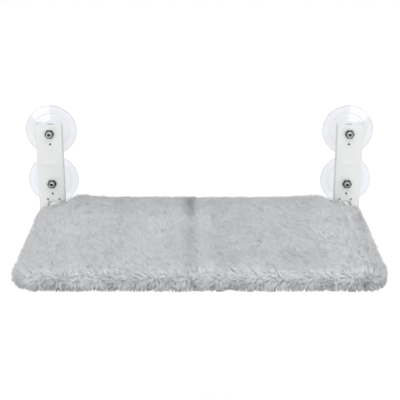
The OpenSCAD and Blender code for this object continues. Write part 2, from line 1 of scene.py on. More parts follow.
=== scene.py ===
"""Cat perch for a window: clear suction cups, painted steel brackets, and a plush seat that folds up.

Metres, in the frame of the CAD model: the glass is the plane Y = 0, the room is towards -Y, up is +Z.
"""
import logging
import math
from dataclasses import dataclass
from enum import Enum
from typing import Callable, Protocol, Sequence

import bmesh
import bpy
import numpy as np
from mathutils import Euler, Matrix, Vector
from mathutils.kdtree import KDTree


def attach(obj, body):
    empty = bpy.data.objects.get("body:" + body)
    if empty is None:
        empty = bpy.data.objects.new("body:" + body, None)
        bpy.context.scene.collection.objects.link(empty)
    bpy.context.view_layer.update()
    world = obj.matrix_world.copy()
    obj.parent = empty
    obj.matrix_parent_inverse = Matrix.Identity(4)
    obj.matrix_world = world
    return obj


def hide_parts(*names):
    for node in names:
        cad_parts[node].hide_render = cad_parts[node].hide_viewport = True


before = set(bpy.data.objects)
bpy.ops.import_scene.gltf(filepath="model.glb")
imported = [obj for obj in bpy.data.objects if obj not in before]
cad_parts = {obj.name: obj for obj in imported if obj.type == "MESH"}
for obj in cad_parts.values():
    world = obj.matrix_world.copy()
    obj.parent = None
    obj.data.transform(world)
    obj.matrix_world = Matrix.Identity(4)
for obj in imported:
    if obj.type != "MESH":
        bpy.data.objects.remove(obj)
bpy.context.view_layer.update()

LOG = logging.getLogger("cat_perch")
MM = 0.001
NEAR = 1e-5
FACING = 0.9
QUARTER = math.radians(90)
BRACKETS = "window_brackets"
SEAT = "seat"
WHITE = (1, 1, 1, 1)
PILE_MAP = "pile_map"
Colour = tuple[float, float, float]
Pair = tuple[float, float]
Socket = bpy.types.NodeSocket


class Side(Enum):
    """The two sides of the perch, as seen from the room."""

    LEFT = -1
    RIGHT = 1


class Pick(Enum):
    """What a selection in edit mode is made of."""

    VERT = 0
    EDGE = 1
    FACE = 2


class Carve(Enum):
    """How one solid works on another."""

    CUT = "DIFFERENCE"
    ADD = "UNION"
    KEEP = "INTERSECT"


def activate(obj: bpy.types.Object) -> None:
    """Makes an object the only selected one, in object mode.

    Args:
        obj: The object to work on next.
    """
    if bpy.context.object and bpy.context.object.mode != "OBJECT":
        bpy.ops.object.mode_set(mode="OBJECT")
    for other in bpy.context.selected_objects:
        other.select_set(False)
    obj.select_set(True)
    bpy.context.view_layer.objects.active = obj


def edit(obj: bpy.types.Object) -> None:
    """Opens an object in edit mode with nothing selected.

    Args:
        obj: The mesh object to edit.
    """
    activate(obj)
    bpy.ops.object.mode_set(mode="EDIT")
    bpy.ops.mesh.select_all(action="DESELECT")


def done() -> None:
    """Goes back to object mode."""
    bpy.ops.object.mode_set(mode="OBJECT")


def pick(obj: bpy.types.Object, kind: Pick, test: Callable[..., bool]) -> None:
    """Selects what passes a test, in edit mode.

    Args:
        obj: The object in edit mode.
        kind: What to select.
        test: Takes a bmesh vertex, edge or face.
    """
    bpy.context.tool_settings.mesh_select_mode = tuple(kind is k for k in Pick)
    bpy.ops.mesh.select_all(action="DESELECT")
    mesh = bmesh.from_edit_mesh(obj.data)
    for item in (mesh.verts, mesh.edges, mesh.faces)[kind.value]:
        if test(item):
            item.select_set(True)
    mesh.select_flush_mode()
    bmesh.update_edit_mesh(obj.data)


def round_edges(
    obj: bpy.types.Object, test: Callable[..., bool], width: float, segments: int,
    kind: Pick = Pick.EDGE,
) -> None:
    """Rounds the edges that pass a test.

    Args:
        obj: The object.
        test: Takes a bmesh edge, or a face whose edges are meant.
        width: Width of the rounding.
        segments: Faces across it.
        kind: What the test takes.
    """
    edit(obj)
    pick(obj, kind, test)
    bpy.ops.mesh.bevel(offset=width, segments=segments, profile=0.5, affect="EDGES")
    done()


def middle(edge: bmesh.types.BMEdge) -> Vector:
    """The middle of an edge."""
    return (edge.verts[0].co + edge.verts[1].co) / 2


def runs_along(edge: bmesh.types.BMEdge, axis: int) -> bool:
    """True if an edge is parallel to an axis."""
    way = edge.verts[1].co - edge.verts[0].co
    return abs(way[axis]) > 0.999 * way.length


def apply_modifier(obj: bpy.types.Object, kind: str, **values: object) -> None:
    """Adds a modifier with its settings and applies it.

    Args:
        obj: The object to change.
        kind: The modifier's type.
        **values: Its settings by name.
    """
    activate(obj)
    modifier = obj.modifiers.new(kind, kind)
    for name, value in values.items():
        setattr(modifier, name, value)
    bpy.ops.object.modifier_apply(modifier=modifier.name)


def carve(obj: bpy.types.Object, tool: bpy.types.Object, how: Carve = Carve.CUT) -> None:
    """Works one solid with another, which is used up.

    Args:
        obj: The solid that stays.
        tool: The solid that works on it.
        how: Cut it away, add it or keep what both share.
    """
    apply_modifier(obj, "BOOLEAN", operation=how.value, object=tool, solver="EXACT")
    bpy.data.meshes.remove(tool.data)


def soften(obj: bpy.types.Object, width: float, segments: int = 2, angle: float = 40.0) -> None:
    """Rounds the sharp edges of a solid a little.

    Args:
        obj: The solid.
        width: Width of the rounding.
        segments: Faces across it.
        angle: The least turn, in degrees, that counts as an edge.
    """
    apply_modifier(
        obj, "BEVEL", width=width, segments=segments, limit_method="ANGLE",
        angle_limit=math.radians(angle),
    )


def smooth(obj: bpy.types.Object, angle: float = 35.0) -> None:
    """Shades a piece smooth except over edges sharper than an angle in degrees."""
    activate(obj)
    bpy.ops.object.shade_smooth_by_angle(angle=math.radians(angle))


def even_normals(obj: bpy.types.Object) -> None:
    """Shades a pressed sheet smooth, its flat faces flat."""
    smooth(obj, 32)
    apply_modifier(obj, "WEIGHTED_NORMAL", mode="FACE_AREA", weight=50, keep_sharp=True)


def face_outwards(obj: bpy.types.Object) -> None:
    """Merges doubles and turns all faces outwards.

    Args:
        obj: The closed solid.
    """
    edit(obj)
    bpy.ops.mesh.select_all(action="SELECT")
    bpy.ops.mesh.remove_doubles(threshold=0.002 * MM)
    bpy.ops.mesh.normals_make_consistent(inside=False)
    done()


def settle(obj: bpy.types.Object) -> bpy.types.Object:
    """Moves an object's place into its mesh.

    Args:
        obj: The object.

    Returns:
        The same object, at the origin.
    """
    activate(obj)
    bpy.ops.object.transform_apply(location=True, rotation=True, scale=True)
    return obj


def place(obj: bpy.types.Object, at: Matrix) -> bpy.types.Object:
    """Moves a mesh to its place and leaves its object at the origin.

    Args:
        obj: The object.
        at: Where it goes.

    Returns:
        The same object.
    """
    obj.matrix_world = at
    return settle(obj)


def copy_of(obj: bpy.types.Object, name: str, at: Matrix) -> bpy.types.Object:
    """A copy with its own mesh, moved to another place.

    Args:
        obj: The object to copy, which stands at the origin.
        name: The copy's name.
        at: Where the copy goes.

    Returns:
        The copy.
    """
    twin = obj.copy()
    twin.data = obj.data.copy()
    twin.name = name
    bpy.context.collection.objects.link(twin)
    place(twin, at)
    if at.determinant() < 0:
        face_outwards(twin)
        even_normals(twin)
    return twin


def joined(name: str, pieces: Sequence[bpy.types.Object]) -> bpy.types.Object:
    """Several objects as one.

    Args:
        name: The new name.
        pieces: The objects, which are used up.

    Returns:
        The joined object.
    """
    activate(pieces[0])
    for piece in pieces:
        piece.select_set(True)
    bpy.ops.object.join()
    pieces[0].name = name
    return pieces[0]


def block(name: str, low: Sequence[float], high: Sequence[float]) -> bpy.types.Object:
    """A box between two corners, as a start for modelling.

    Args:
        name: Its name.
        low: The lowest corner.
        high: The highest corner.

    Returns:
        The box, its place in its mesh.
    """
    low, high = Vector(low), Vector(high)
    bpy.ops.mesh.primitive_cube_add(size=1, location=(low + high) / 2, scale=high - low)
    bpy.context.object.name = name
    return settle(bpy.context.object)


def rod(
    name: str, start: Sequence[float], end: Sequence[float], radius: float, sides: int = 48,
) -> bpy.types.Object:
    """A cylinder between two points, as a start for modelling or as a cutter.

    Args:
        name: Its name.
        start: The middle of one end.
        end: The middle of the other end.
        radius: Its radius.
        sides: Faces round it.

    Returns:
        The cylinder, its place in its mesh.
    """
    start, end = Vector(start), Vector(end)
    way = end - start
    bpy.ops.mesh.primitive_cylinder_add(vertices=sides, radius=radius, depth=way.length)
    bpy.context.object.name = name
    turn = way.to_track_quat("Z", "Y").to_matrix().to_4x4()
    return place(bpy.context.object, Matrix.Translation((start + end) / 2) @ turn)


def turned(name: str, rings: Sequence[Pair], sides: int = 64) -> bpy.types.Object:
    """A solid turned on Z, made by drawing a disc up ring by ring.

    Args:
        name: Its name.
        rings: Radius and height of each ring, from one end's face to the other's.
        sides: Faces round it.

    Returns:
        The closed solid.
    """
    radius, height = rings[0]
    bpy.ops.mesh.primitive_circle_add(
        vertices=sides, radius=radius, fill_type="NGON", location=(0, 0, height),
    )
    obj = settle(bpy.context.object)
    obj.name = name
    edit(obj)
    bpy.ops.mesh.select_all(action="SELECT")
    for next_radius, next_height in rings[1:]:
        bpy.ops.mesh.extrude_region_move(
            TRANSFORM_OT_translate={"value": (0, 0, next_height - height)},
        )
        grow = next_radius / radius
        bpy.ops.transform.resize(value=(grow, grow, 1), center_override=(0, 0, next_height))
        radius, height = next_radius, next_height
    bpy.ops.mesh.select_all(action="SELECT")
    bpy.ops.mesh.normals_make_consistent(inside=False)
    done()
    return obj


def corner_radius(across_flats: float) -> float:
    """How far a hexagon's corners are from its middle."""
    return across_flats / 2 / math.cos(math.radians(30))


def hexagon(name: str, across_flats: float, height: float) -> bpy.types.Object:
    """A hexagonal prism on Z from the origin, corners to the sides.

    Args:
        name: Its name.
        across_flats: Its width from flat to flat.
        height: How high it is.

    Returns:
        The closed solid.
    """
    prism = rod(name, (0, 0, 0), (0, 0, height), corner_radius(across_flats), sides=6)
    prism.data.transform(Matrix.Rotation(math.radians(30), 4, "Z"))
    return prism


def drill(sheet: bpy.types.Object, front: float, holes: Sequence[tuple]) -> None:
    """Makes round holes through sheet steel that stands in front of the glass.

    Args:
        sheet: The sheet.
        front: Its front, as Y.
        holes: The X, Z and radius of each hole.
    """
    before, behind = front - 2 * MM, -15 * MM
    for x, z, radius in holes:
        carve(sheet, rod("drill", (x, before, z), (x, behind, z), radius, 32))


def off_axis(face: bpy.types.MeshPolygon) -> float:
    """How far the middle of a face is from Z."""
    return math.hypot(face.center.x, face.center.y)


def paint_faces(
    obj: bpy.types.Object, name: str, value: Callable[[bpy.types.MeshPolygon], float],
) -> None:
    """Writes a number on each face for a material to read.

    Args:
        obj: The piece.
        name: The attribute's name.
        value: Gives the number for a face.
    """
    layer = obj.data.attributes.new(name, "FLOAT", "FACE")
    layer.data.foreach_set("value", [value(face) for face in obj.data.polygons])


class Nodes:
    """The node tree of a material or world, with short calls to add and link nodes."""

    def __init__(self, owner: bpy.types.Material | bpy.types.World) -> None:
        """Starts an empty tree.

        Args:
            owner: What the tree belongs to.
        """
        owner.use_nodes = True
        self.owner, self.tree = owner, owner.node_tree
        self.tree.nodes.clear()

    def add(
        self, kind: str, *values: object, settings: dict | None = None, **inputs: object,
    ) -> bpy.types.Node:
        """Adds a node.

        Args:
            kind: The node's type, without the ShaderNode before it.
            *values: Values or outputs for its inputs, in their order.
            settings: Properties of the node itself.
            **inputs: Values or outputs for its inputs by name, with underscores for spaces.

        Returns:
            The node.
        """
        node = self.tree.nodes.new("ShaderNode" + kind)
        for name, value in (settings or {}).items():
            setattr(node, name, value)
        named = [(node.inputs[name.replace("_", " ")], value) for name, value in inputs.items()]
        for socket, value in [*zip(node.inputs, values), *named]:
            if isinstance(value, Socket):
                self.tree.links.new(value, socket)
            else:
                socket.default_value = value
        return node

    def where(self) -> Socket:
        """The place on the piece, in its own coordinates."""
        return self.add("TexCoord").outputs["Object"]

    def on_face(self, name: str) -> Socket:
        """The number that paint_faces wrote under a name."""
        return self.add("Attribute", settings={"attribute_name": name}).outputs["Fac"]

    def noise(self, cell: float, detail: float = 2.0) -> Socket:
        """Noise from 0 to 1 on the piece's own coordinates.

        Args:
            cell: The size of its features.
            detail: How many finer layers it has.

        Returns:
            The noise's output.
        """
        return self.add(
            "TexNoise", Vector=self.where(), Scale=1 / cell, Detail=detail, Roughness=0.55,
        ).outputs["Fac"]

    def math(self, operation: str, *values: Socket | float) -> Socket:
        """Sums on outputs and numbers.

        Args:
            operation: The Math node's operation.
            *values: What its inputs take, in order.

        Returns:
            The result's output.
        """
        return self.add("Math", *values, settings={"operation": operation}).outputs[0]

    def span(self, value: Socket, low: float, high: float) -> Socket:
        """Maps 0 to 1 onto another range.

        Args:
            value: The number to map.
            low: What 0 becomes.
            high: What 1 becomes.

        Returns:
            The mapped output.
        """
        return self.add("MapRange", value, To_Min=low, To_Max=high).outputs[0]

    def between(self, share: Socket, *colours: Colour) -> Socket:
        """A colour from an even scale of colours.

        Args:
            share: 0 for the first colour, 1 for the last.
            *colours: The scale's colours.

        Returns:
            The colour's output.
        """
        ramp = self.add("ValToRGB", share)
        stops = ramp.color_ramp.elements
        stops[0].color, stops[1].color = (*colours[0], 1), (*colours[-1], 1)
        for k, colour in enumerate(colours[1:-1], 1):
            stops.new(k / (len(colours) - 1)).color = (*colour, 1)
        return ramp.outputs[0]

    def fade(self, share: Socket, first: Socket | tuple, second: Socket | tuple) -> Socket:
        """Fades from one colour, at a share of 0, to another, at 1."""
        return self.add("MixRGB", share, first, second).outputs[0]

    def bump(self, height: Socket, depth: float, strength: float = 1.0) -> Socket:
        """Bumps of a real depth.

        Args:
            height: The height from 0 to 1.
            depth: What 1 stands for.
            strength: How much of it shows.

        Returns:
            The normal's output.
        """
        return self.add("Bump", Height=height, Distance=depth, Strength=strength).outputs[0]

    def finish(self, **inputs: object) -> bpy.types.Material:
        """Adds the surface shader and gives the finished material.

        Args:
            **inputs: Values or outputs for the shader's inputs.

        Returns:
            The material.
        """
        shader = self.add("BsdfPrincipled", **inputs)
        self.add("OutputMaterial", shader.outputs[0])
        return self.owner


class Finish(Protocol):
    """A surface finish: its material's name, its slot in the record and how it is made."""

    name: str
    slot: str

    def make(self) -> bpy.types.Material:
        """The material."""


@dataclass(frozen=True)
class PowderCoat:
    """White powder coat: satin, with the fine orange peel that the oven leaves, and painted shade in the
    hinge relief notches.
    """

    colour: Colour = (0.83, 0.845, 0.835)
    shade: Colour = (0.78, 0.795, 0.79)
    cloud: float = 28 * MM
    peel: float = 1.1 * MM
    peel_depth: float = 0.03 * MM
    roughness: Pair = (0.38, 0.52)
    # Painted shade in the hinge relief notches.
    notch_shade: Colour = (0.36, 0.37, 0.36)
    tube_x: float = 238.5 * MM
    notch: tuple[float, float, float] = (9.35 * MM, -22.8 * MM, -68.8 * MM)
    notch_reach: Pair = (1.75 * MM, 2.1 * MM)
    name: str = "powder_coat"
    slot: str = "white_paint"

    def notch_shading(self, nodes: Nodes) -> Socket:
        """Where shade is painted: in the relief notches on both sides of each tube.

        Args:
            nodes: The material's nodes.

        Returns:
            From 0, no painted shade, to 1, full painted shade.
        """
        x, y, z = nodes.add("SeparateXYZ", nodes.where()).outputs
        across = nodes.math("ABSOLUTE", nodes.math("SUBTRACT", nodes.math("ABSOLUTE", x), self.tube_x))
        folded = nodes.add("CombineXYZ", across, y, z).outputs[0]
        away = nodes.add("VectorMath", folded, self.notch, settings={"operation": "DISTANCE"})
        return nodes.add("MapRange", away.outputs["Value"], *self.notch_reach, 1.0, 0.0).outputs[0]

    def make(self) -> bpy.types.Material:
        """Builds the material's nodes.

        Returns:
            The material.
        """
        nodes = Nodes(bpy.data.materials.new(self.name))
        peel = nodes.noise(self.peel, 3)
        coat = nodes.between(nodes.noise(self.cloud, 3), self.shade, self.colour)
        return nodes.finish(
            Base_Color=nodes.fade(self.notch_shading(nodes), coat, (*self.notch_shade, 1)),
            Roughness=nodes.span(peel, *self.roughness),
            Normal=nodes.bump(peel, self.peel_depth, 0.8),
        )


@dataclass(frozen=True)
class ZincPlate:
    """Zinc-plated steel, with painted highlights and painted shade by face, and dark where oil sits.

    By face, it reads the attribute painted_light, from 0, painted shade, to 1, painted highlight.
    """

    # By face, dark is the colour of painted shade and bright that of painted highlights.
    bright: Colour = (0.88, 0.89, 0.9)
    dark: Colour = (0.02, 0.022, 0.022)
    mottle: float = 0.16
    plain_low: float = 0.72
    spangle: float = 2.2 * MM
    grain: float = 0.5 * MM
    roughness: Pair = (0.24, 0.42)
    by_face: bool = False
    name: str = "zinc_plate"
    slot: str = "zinc_steel"

    def make(self) -> bpy.types.Material:
        """Builds the material's nodes.

        Returns:
            The material.
        """
        nodes = Nodes(bpy.data.materials.new(self.name))
        spangle = nodes.noise(self.spangle, 4)
        if self.by_face:
            # Painted light by face, with the spangle's random mottle on it.
            light_and_mottle = nodes.math("MULTIPLY_ADD", spangle, self.mottle, nodes.on_face("painted_light"))
            share = nodes.math("SUBTRACT", light_and_mottle, self.mottle / 2)
            colour = nodes.between(share, self.dark, self.bright)
        else:
            low = tuple(self.plain_low * c for c in self.bright)
            colour = nodes.between(spangle, low, self.bright)
        return nodes.finish(
            Base_Color=colour,
            Metallic=1.0,
            Roughness=nodes.span(spangle, *self.roughness),
            Normal=nodes.bump(nodes.noise(self.grain), 0.01 * MM),
        )


@dataclass(frozen=True)
class ClearVinyl:
    """Clear soft PVC: faintly milky, glossy, a little greyer where it is thick.

    Faces carry the attribute depth: 0 where it is thin, 0.5 where it is thick, 0.3 and 0.4 as painted
    shade on the ring step and the rim, and 1 as painted shade on the peg's end.
    """

    thin: Colour = (0.79, 0.80, 0.835)
    thick: Colour = (0.42, 0.44, 0.45)
    # Painted shade on the peg's end, in its hole.
    shaded: Colour = (0.001, 0.001, 0.001)
    flow: float = 14 * MM
    roughness: Pair = (0.03, 0.1)
    refraction: float = 1.48
    name: str = "clear_vinyl"
    slot: str = "clear_pvc"

    def make(self) -> bpy.types.Material:
        """Builds the material's nodes.

        Returns:
            The material.
        """
        nodes = Nodes(bpy.data.materials.new(self.name))
        flow = nodes.noise(self.flow)
        return nodes.finish(
            Base_Color=nodes.between(nodes.on_face("depth"), self.thin, self.thick, self.shaded),
            Roughness=nodes.span(flow, *self.roughness),
            IOR=self.refraction,
            Transmission_Weight=1.0,
            Normal=nodes.bump(flow, 0.12 * MM, 0.5),
        )


@dataclass(frozen=True)
class NaturalNylon:
    """Milky white nylon with a fine moulded grain."""

    dark: Colour = (0.72, 0.71, 0.67)
    light: Colour = (0.82, 0.81, 0.77)
    cloud: float = 5 * MM
    grain: float = 0.7 * MM
    roughness: Pair = (0.45, 0.62)
    name: str = "natural_nylon"
    slot: str = "nylon"

    def make(self) -> bpy.types.Material:
        """Builds the material's nodes.

        Returns:
            The material.
        """
        nodes = Nodes(bpy.data.materials.new(self.name))
        grain = nodes.noise(self.grain)
        return nodes.finish(
            Base_Color=nodes.between(nodes.noise(self.cloud), self.dark, self.light),
            Roughness=nodes.span(grain, *self.roughness),
            Normal=nodes.bump(grain, 0.02 * MM),
        )


@dataclass(frozen=True)
class WovenCloth:
    """Plain-woven polyester: threads over and under, with a slight sheen."""

    name: str
    slot: str
    dark: Colour
    light: Colour
    thread: float
    faded: float = 0.45
    fade: float = 35 * MM

    def make(self) -> bpy.types.Material:
        """Builds the material's nodes.

        Returns:
            The material.
        """
        nodes = Nodes(bpy.data.materials.new(self.name))
        where = nodes.where()
        height = nodes.math("MAXIMUM", *(
            nodes.add(
                "TexWave", settings={"bands_direction": way, "wave_profile": "SIN"}, Vector=where,
                Scale=math.pi / 10 / self.thread, Distortion=0.6, Detail=1.0, Detail_Scale=2.0,
            ).outputs["Fac"]
            for way in ("X", "Y")
        ))
        mixed = nodes.add(
            "Mix", settings={"data_type": "FLOAT"}, Factor=self.faded, A=height,
            B=nodes.noise(self.fade, 4),
        )
        return nodes.finish(
            Base_Color=nodes.between(mixed.outputs[0], self.dark, self.light),
            Roughness=0.82,
            Sheen_Weight=0.15,
            Sheen_Roughness=0.5,
            Normal=nodes.bump(height, 0.12 * MM, 0.8),
        )


@dataclass(frozen=True)
class OpenFoam:
    """Pale open-cell foam."""

    light: Colour = (0.8, 0.77, 0.64)
    dark: Colour = (0.52, 0.49, 0.38)
    cell: float = 1.1 * MM
    name: str = "open_foam"
    slot: str = "foam"

    def make(self) -> bpy.types.Material:
        """Builds the material's nodes.

        Returns:
            The material.
        """
        nodes = Nodes(bpy.data.materials.new(self.name))
        cells = nodes.add("TexVoronoi", Vector=nodes.where(), Scale=1 / self.cell)
        holes = cells.outputs["Distance"]
        return nodes.finish(
            Base_Color=nodes.between(holes, self.light, self.dark),
            Roughness=0.95,
            Normal=nodes.bump(nodes.span(holes, 1, 0), 0.3 * MM),
        )


@dataclass(frozen=True)
class HookTape:
    """Hook-and-loop tape: dark, with a dense rough face."""

    dark: Colour = (0.05, 0.052, 0.058)
    light: Colour = (0.13, 0.135, 0.15)
    loop: float = 0.8 * MM
    name: str = "hook_tape"
    slot: str = "tape"

    def make(self) -> bpy.types.Material:
        """Builds the material's nodes.

        Returns:
            The material.
        """
        nodes = Nodes(bpy.data.materials.new(self.name))
        loops = nodes.noise(self.loop, 4)
        return nodes.finish(
            Base_Color=nodes.between(loops, self.dark, self.light),
            Roughness=0.9,
            Sheen_Weight=0.2,
            Normal=nodes.bump(loops, 0.25 * MM),
        )


@dataclass(frozen=True)
class PlushPile:
    """Soft grey pile, lighter towards the tips of its hairs: the darker roots and backing are painted
    shade deep in the pile.

    The piece's own map holds, across, each tuft's tone and, upwards, the way from root to tip, above a
    band for the knitted backing.
    """

    # The backing and the roots are darker as painted shade between the hairs.
    backing: Colour = (0.5, 0.508, 0.52)
    root_dark: Colour = (0.1, 0.102, 0.105)
    root_light: Colour = (0.78, 0.795, 0.82)
    tip_dark: Colour = (0.22, 0.223, 0.23)
    tip_light: Colour = (0.93, 0.945, 0.97)
    backing_top: float = 0.22
    root_to_tip: Pair = (0.3, 0.85)
    name: str = "plush_pile"
    slot: str = "plush"

    def make(self) -> bpy.types.Material:
        """Builds the material's nodes.

        Returns:
            The material.
        """
        nodes = Nodes(bpy.data.materials.new(self.name))
        own_map = nodes.add("UVMap", settings={"uv_map": PILE_MAP}).outputs[0]
        tone, way, _ = nodes.add("SeparateXYZ", own_map).outputs
        roots = nodes.between(tone, self.root_dark, self.root_light)
        tips = nodes.between(tone, self.tip_dark, self.tip_light)
        eased = {"interpolation_type": "SMOOTHSTEP"}
        up = nodes.add("MapRange", way, *self.root_to_tip, settings=eased).outputs[0]
        on_pile = nodes.math("GREATER_THAN", way, self.backing_top)
        return nodes.finish(
            Base_Color=nodes.fade(on_pile, (*self.backing, 1), nodes.fade(up, roots, tips)),
            Roughness=0.85,
            Sheen_Weight=0.5,
            Sheen_Roughness=0.5,
            Specular_IOR_Level=0.2,
        )


def coat(obj: bpy.types.Object, finish: Finish) -> None:
    """Gives a piece a finish's material, which is made for its first piece.

    Args:
        obj: The piece.
        finish: Its finish.
    """
    obj.data.materials.clear()
    obj.data.materials.append(bpy.data.materials.get(finish.name) or finish.make())
    LOG.info("%s: %d faces in %s", obj.name, len(obj.data.polygons), finish.name)


def dress(finish: Finish, *nodes: str) -> None:
    """Gives CAD nodes their finish.

    Args:
        finish: The finish.
        *nodes: The nodes' names.
    """
    for node in nodes:
        coat(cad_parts[node], finish)


def fit(obj: bpy.types.Object, finish: Finish, body: str, *nodes: str) -> None:
    """Finishes a new piece: its material, its body and the nodes that it stands for.

    Args:
        obj: The piece, in place.
        finish: The finish, whose material it gets.
        body: The CAD body that it rides on.
        *nodes: The CAD nodes that it replaces.
    """
    coat(obj, finish)
    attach(obj, body)
    if nodes:
        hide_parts(*nodes)


@dataclass(frozen=True)
class SuctionCup:
    """A clear cup pressed on the glass, modelled on Z from the glass, with its lug towards -Y."""

    radius: float = 41 * MM
    rim: float = 1.2 * MM
    lip_inner: float = 37 * MM
    hollow: float = 1.2 * MM
    ring_radius: float = 28.7 * MM
    ring_foot: float = 2.8 * MM
    ring_top: float = 3.5 * MM
    boss_radius: float = 13 * MM
    boss_foot: float = 6.2 * MM
    boss_top: float = 20.5 * MM
    lug_width: float = 6.4 * MM
    lug_round: float = 0.5 * MM
    peg_drop: float = 17.5 * MM
    peg_radius: float = 1.6 * MM
    peg_end: float = 21.5 * MM
    peg_round: float = 0.3 * MM

    def build(self) -> bpy.types.Object:
        """The cup, its underside hollow and its rim rounded.

        Returns:
            One cup at the origin.
        """
        r, rim, ring, b = self.radius, self.rim, self.ring_radius, self.boss_radius
        cup = turned("cup_pattern", [
            (0.5 * MM, self.hollow),
            (self.lip_inner - 4 * MM, 0.25 * MM),
            (self.lip_inner, 0.02 * MM),
            (r - 0.5 * MM, 0.0),
            (r - 0.12 * MM, 0.15 * MM),
            (r, 0.5 * MM),
            (r, rim - 0.35 * MM),
            (r - 0.15 * MM, rim - 0.08 * MM),
            (r - 0.6 * MM, rim),
            (r - 2.4 * MM, rim + 0.16 * MM),
            (ring + 1 * MM, self.ring_foot - 0.1 * MM),
            (ring + 0.3 * MM, self.ring_foot),
            (ring + 0.05 * MM, self.ring_top - 0.25 * MM),
            (ring - 0.35 * MM, self.ring_top),
            (ring - 2 * MM, self.ring_top + 0.2 * MM),
            (b + 4.5 * MM, self.boss_foot - 0.9 * MM),
            (b + 1.6 * MM, self.boss_foot - 0.05 * MM),
            (b + 0.45 * MM, self.boss_foot + 1 * MM),
            (b, self.boss_foot + 2.6 * MM),
            (b, self.boss_top - 1 * MM),
            (b - 0.3 * MM, self.boss_top - 0.3 * MM),
            (b - 1 * MM, self.boss_top),
            (6 * MM, self.boss_top),
        ], sides=96)
        half, end = self.lug_width / 2, (0, -self.peg_drop)
        low, top = self.ring_foot, self.boss_top
        lug = block("lug", (-half, -self.peg_drop, low), (half, 0, top))
        carve(lug, rod("lug_end", (*end, low), (*end, top), half), Carve.ADD)
        soften(lug, self.lug_round)
        carve(cup, lug, Carve.ADD)
        peg = rod("peg", (*end, self.boss_foot), (*end, self.peg_end), self.peg_radius, 24)
        soften(peg, self.peg_round)
        carve(cup, peg, Carve.ADD)
        smooth(cup, 32)
        paint_faces(cup, "depth", self.depth)
        return cup

    def depth(self, face: bpy.types.MeshPolygon) -> float:
        """How thick the cup is at a face, and where shade is painted on it.

        Args:
            face: A face of the cup.

        Returns:
            0 at the thin disc, 0.5 on the boss, painted shade of 0.4 on the rim and 0.3 on the ring step,
            and 1, painted shade, on the peg's end.
        """
        out, high = off_axis(face), face.center.z
        # The peg's end in its hole: painted shade.
        if high > self.boss_top + 0.1 * MM:
            return 1.0
        # Painted shade along the rim and the ring step.
        if out > self.radius - 0.8 * MM:
            return 0.4
        if abs(out - self.ring_radius) < 0.6 * MM and high > self.ring_foot - 0.1 * MM:
            return 0.3
        if out > self.boss_radius + 4.6 * MM:
            return 0.0
        return 0.5 if out < self.boss_radius + 0.6 * MM else 0.06


@dataclass(frozen=True)
class CupStud:
    """A threaded stud with its head inside the cup, on Z from the glass."""

    radius: float = 4 * MM
    root: float = 3.4 * MM
    pitch: float = 1.25 * MM
    head_radius: float = 9 * MM
    head_low: float = 5.6 * MM
    head_high: float = 8 * MM
    edge: float = 0.3 * MM
    thread_from: float = 20.9 * MM
    runout: float = 0.6 * MM
    end: float = 30 * MM
    point: float = 2.7 * MM

    def build(self) -> bpy.types.Object:
        """The stud with its thread cut from the bracket to its end.

        Returns:
            One stud at the origin.
        """
        head, edge, height = self.head_radius, self.edge, self.thread_from
        rings = [
            (head - edge, self.head_low),
            (head, self.head_low + edge),
            (head, self.head_high - edge),
            (head - edge, self.head_high),
            (self.radius + edge, self.head_high),
            (self.radius, self.head_high + edge),
            (self.radius, height),
        ]
        while height + self.pitch < self.end - self.runout:
            rings += [
                (self.root, height + 0.45 * self.pitch),
                (self.root, height + 0.55 * self.pitch),
                (self.radius, height + 0.95 * self.pitch),
            ]
            height += self.pitch
        rings += [
            (self.root + 0.1 * MM, self.end - 0.45 * MM),
            (self.root - 0.3 * MM, self.end),
            (self.point + 0.1 * MM, self.end),
            (self.point, self.end - 0.1 * MM),
            (self.point - 0.5 * MM, self.end - 1.1 * MM),
        ]
        stud = turned("stud_pattern", rings, sides=40)
        smooth(stud, 30)
        paint_faces(stud, "painted_light", self.painted_light)
        return stud

    def painted_light(self, face: bpy.types.MeshPolygon) -> float:
        """Painted light on a face: the thread darker with oil and painted shade, painted shade in the
        end's recess, a painted highlight on the end.

        Args:
            face: A face of the stud.

        Returns:
            From 0, dark, to 1, bright.
        """
        if face.center.z < self.thread_from:
            return 0.75
        out, facing = off_axis(face), face.normal.z
        # Painted shade in the recess at the stud's end.
        if out < self.point and facing < 0.99 or out < self.point - 0.3 * MM:
            return 0.03
        # A painted highlight on the end; the thread darker with oil and painted shade.
        return 0.85 if facing > 0.5 else 0.3


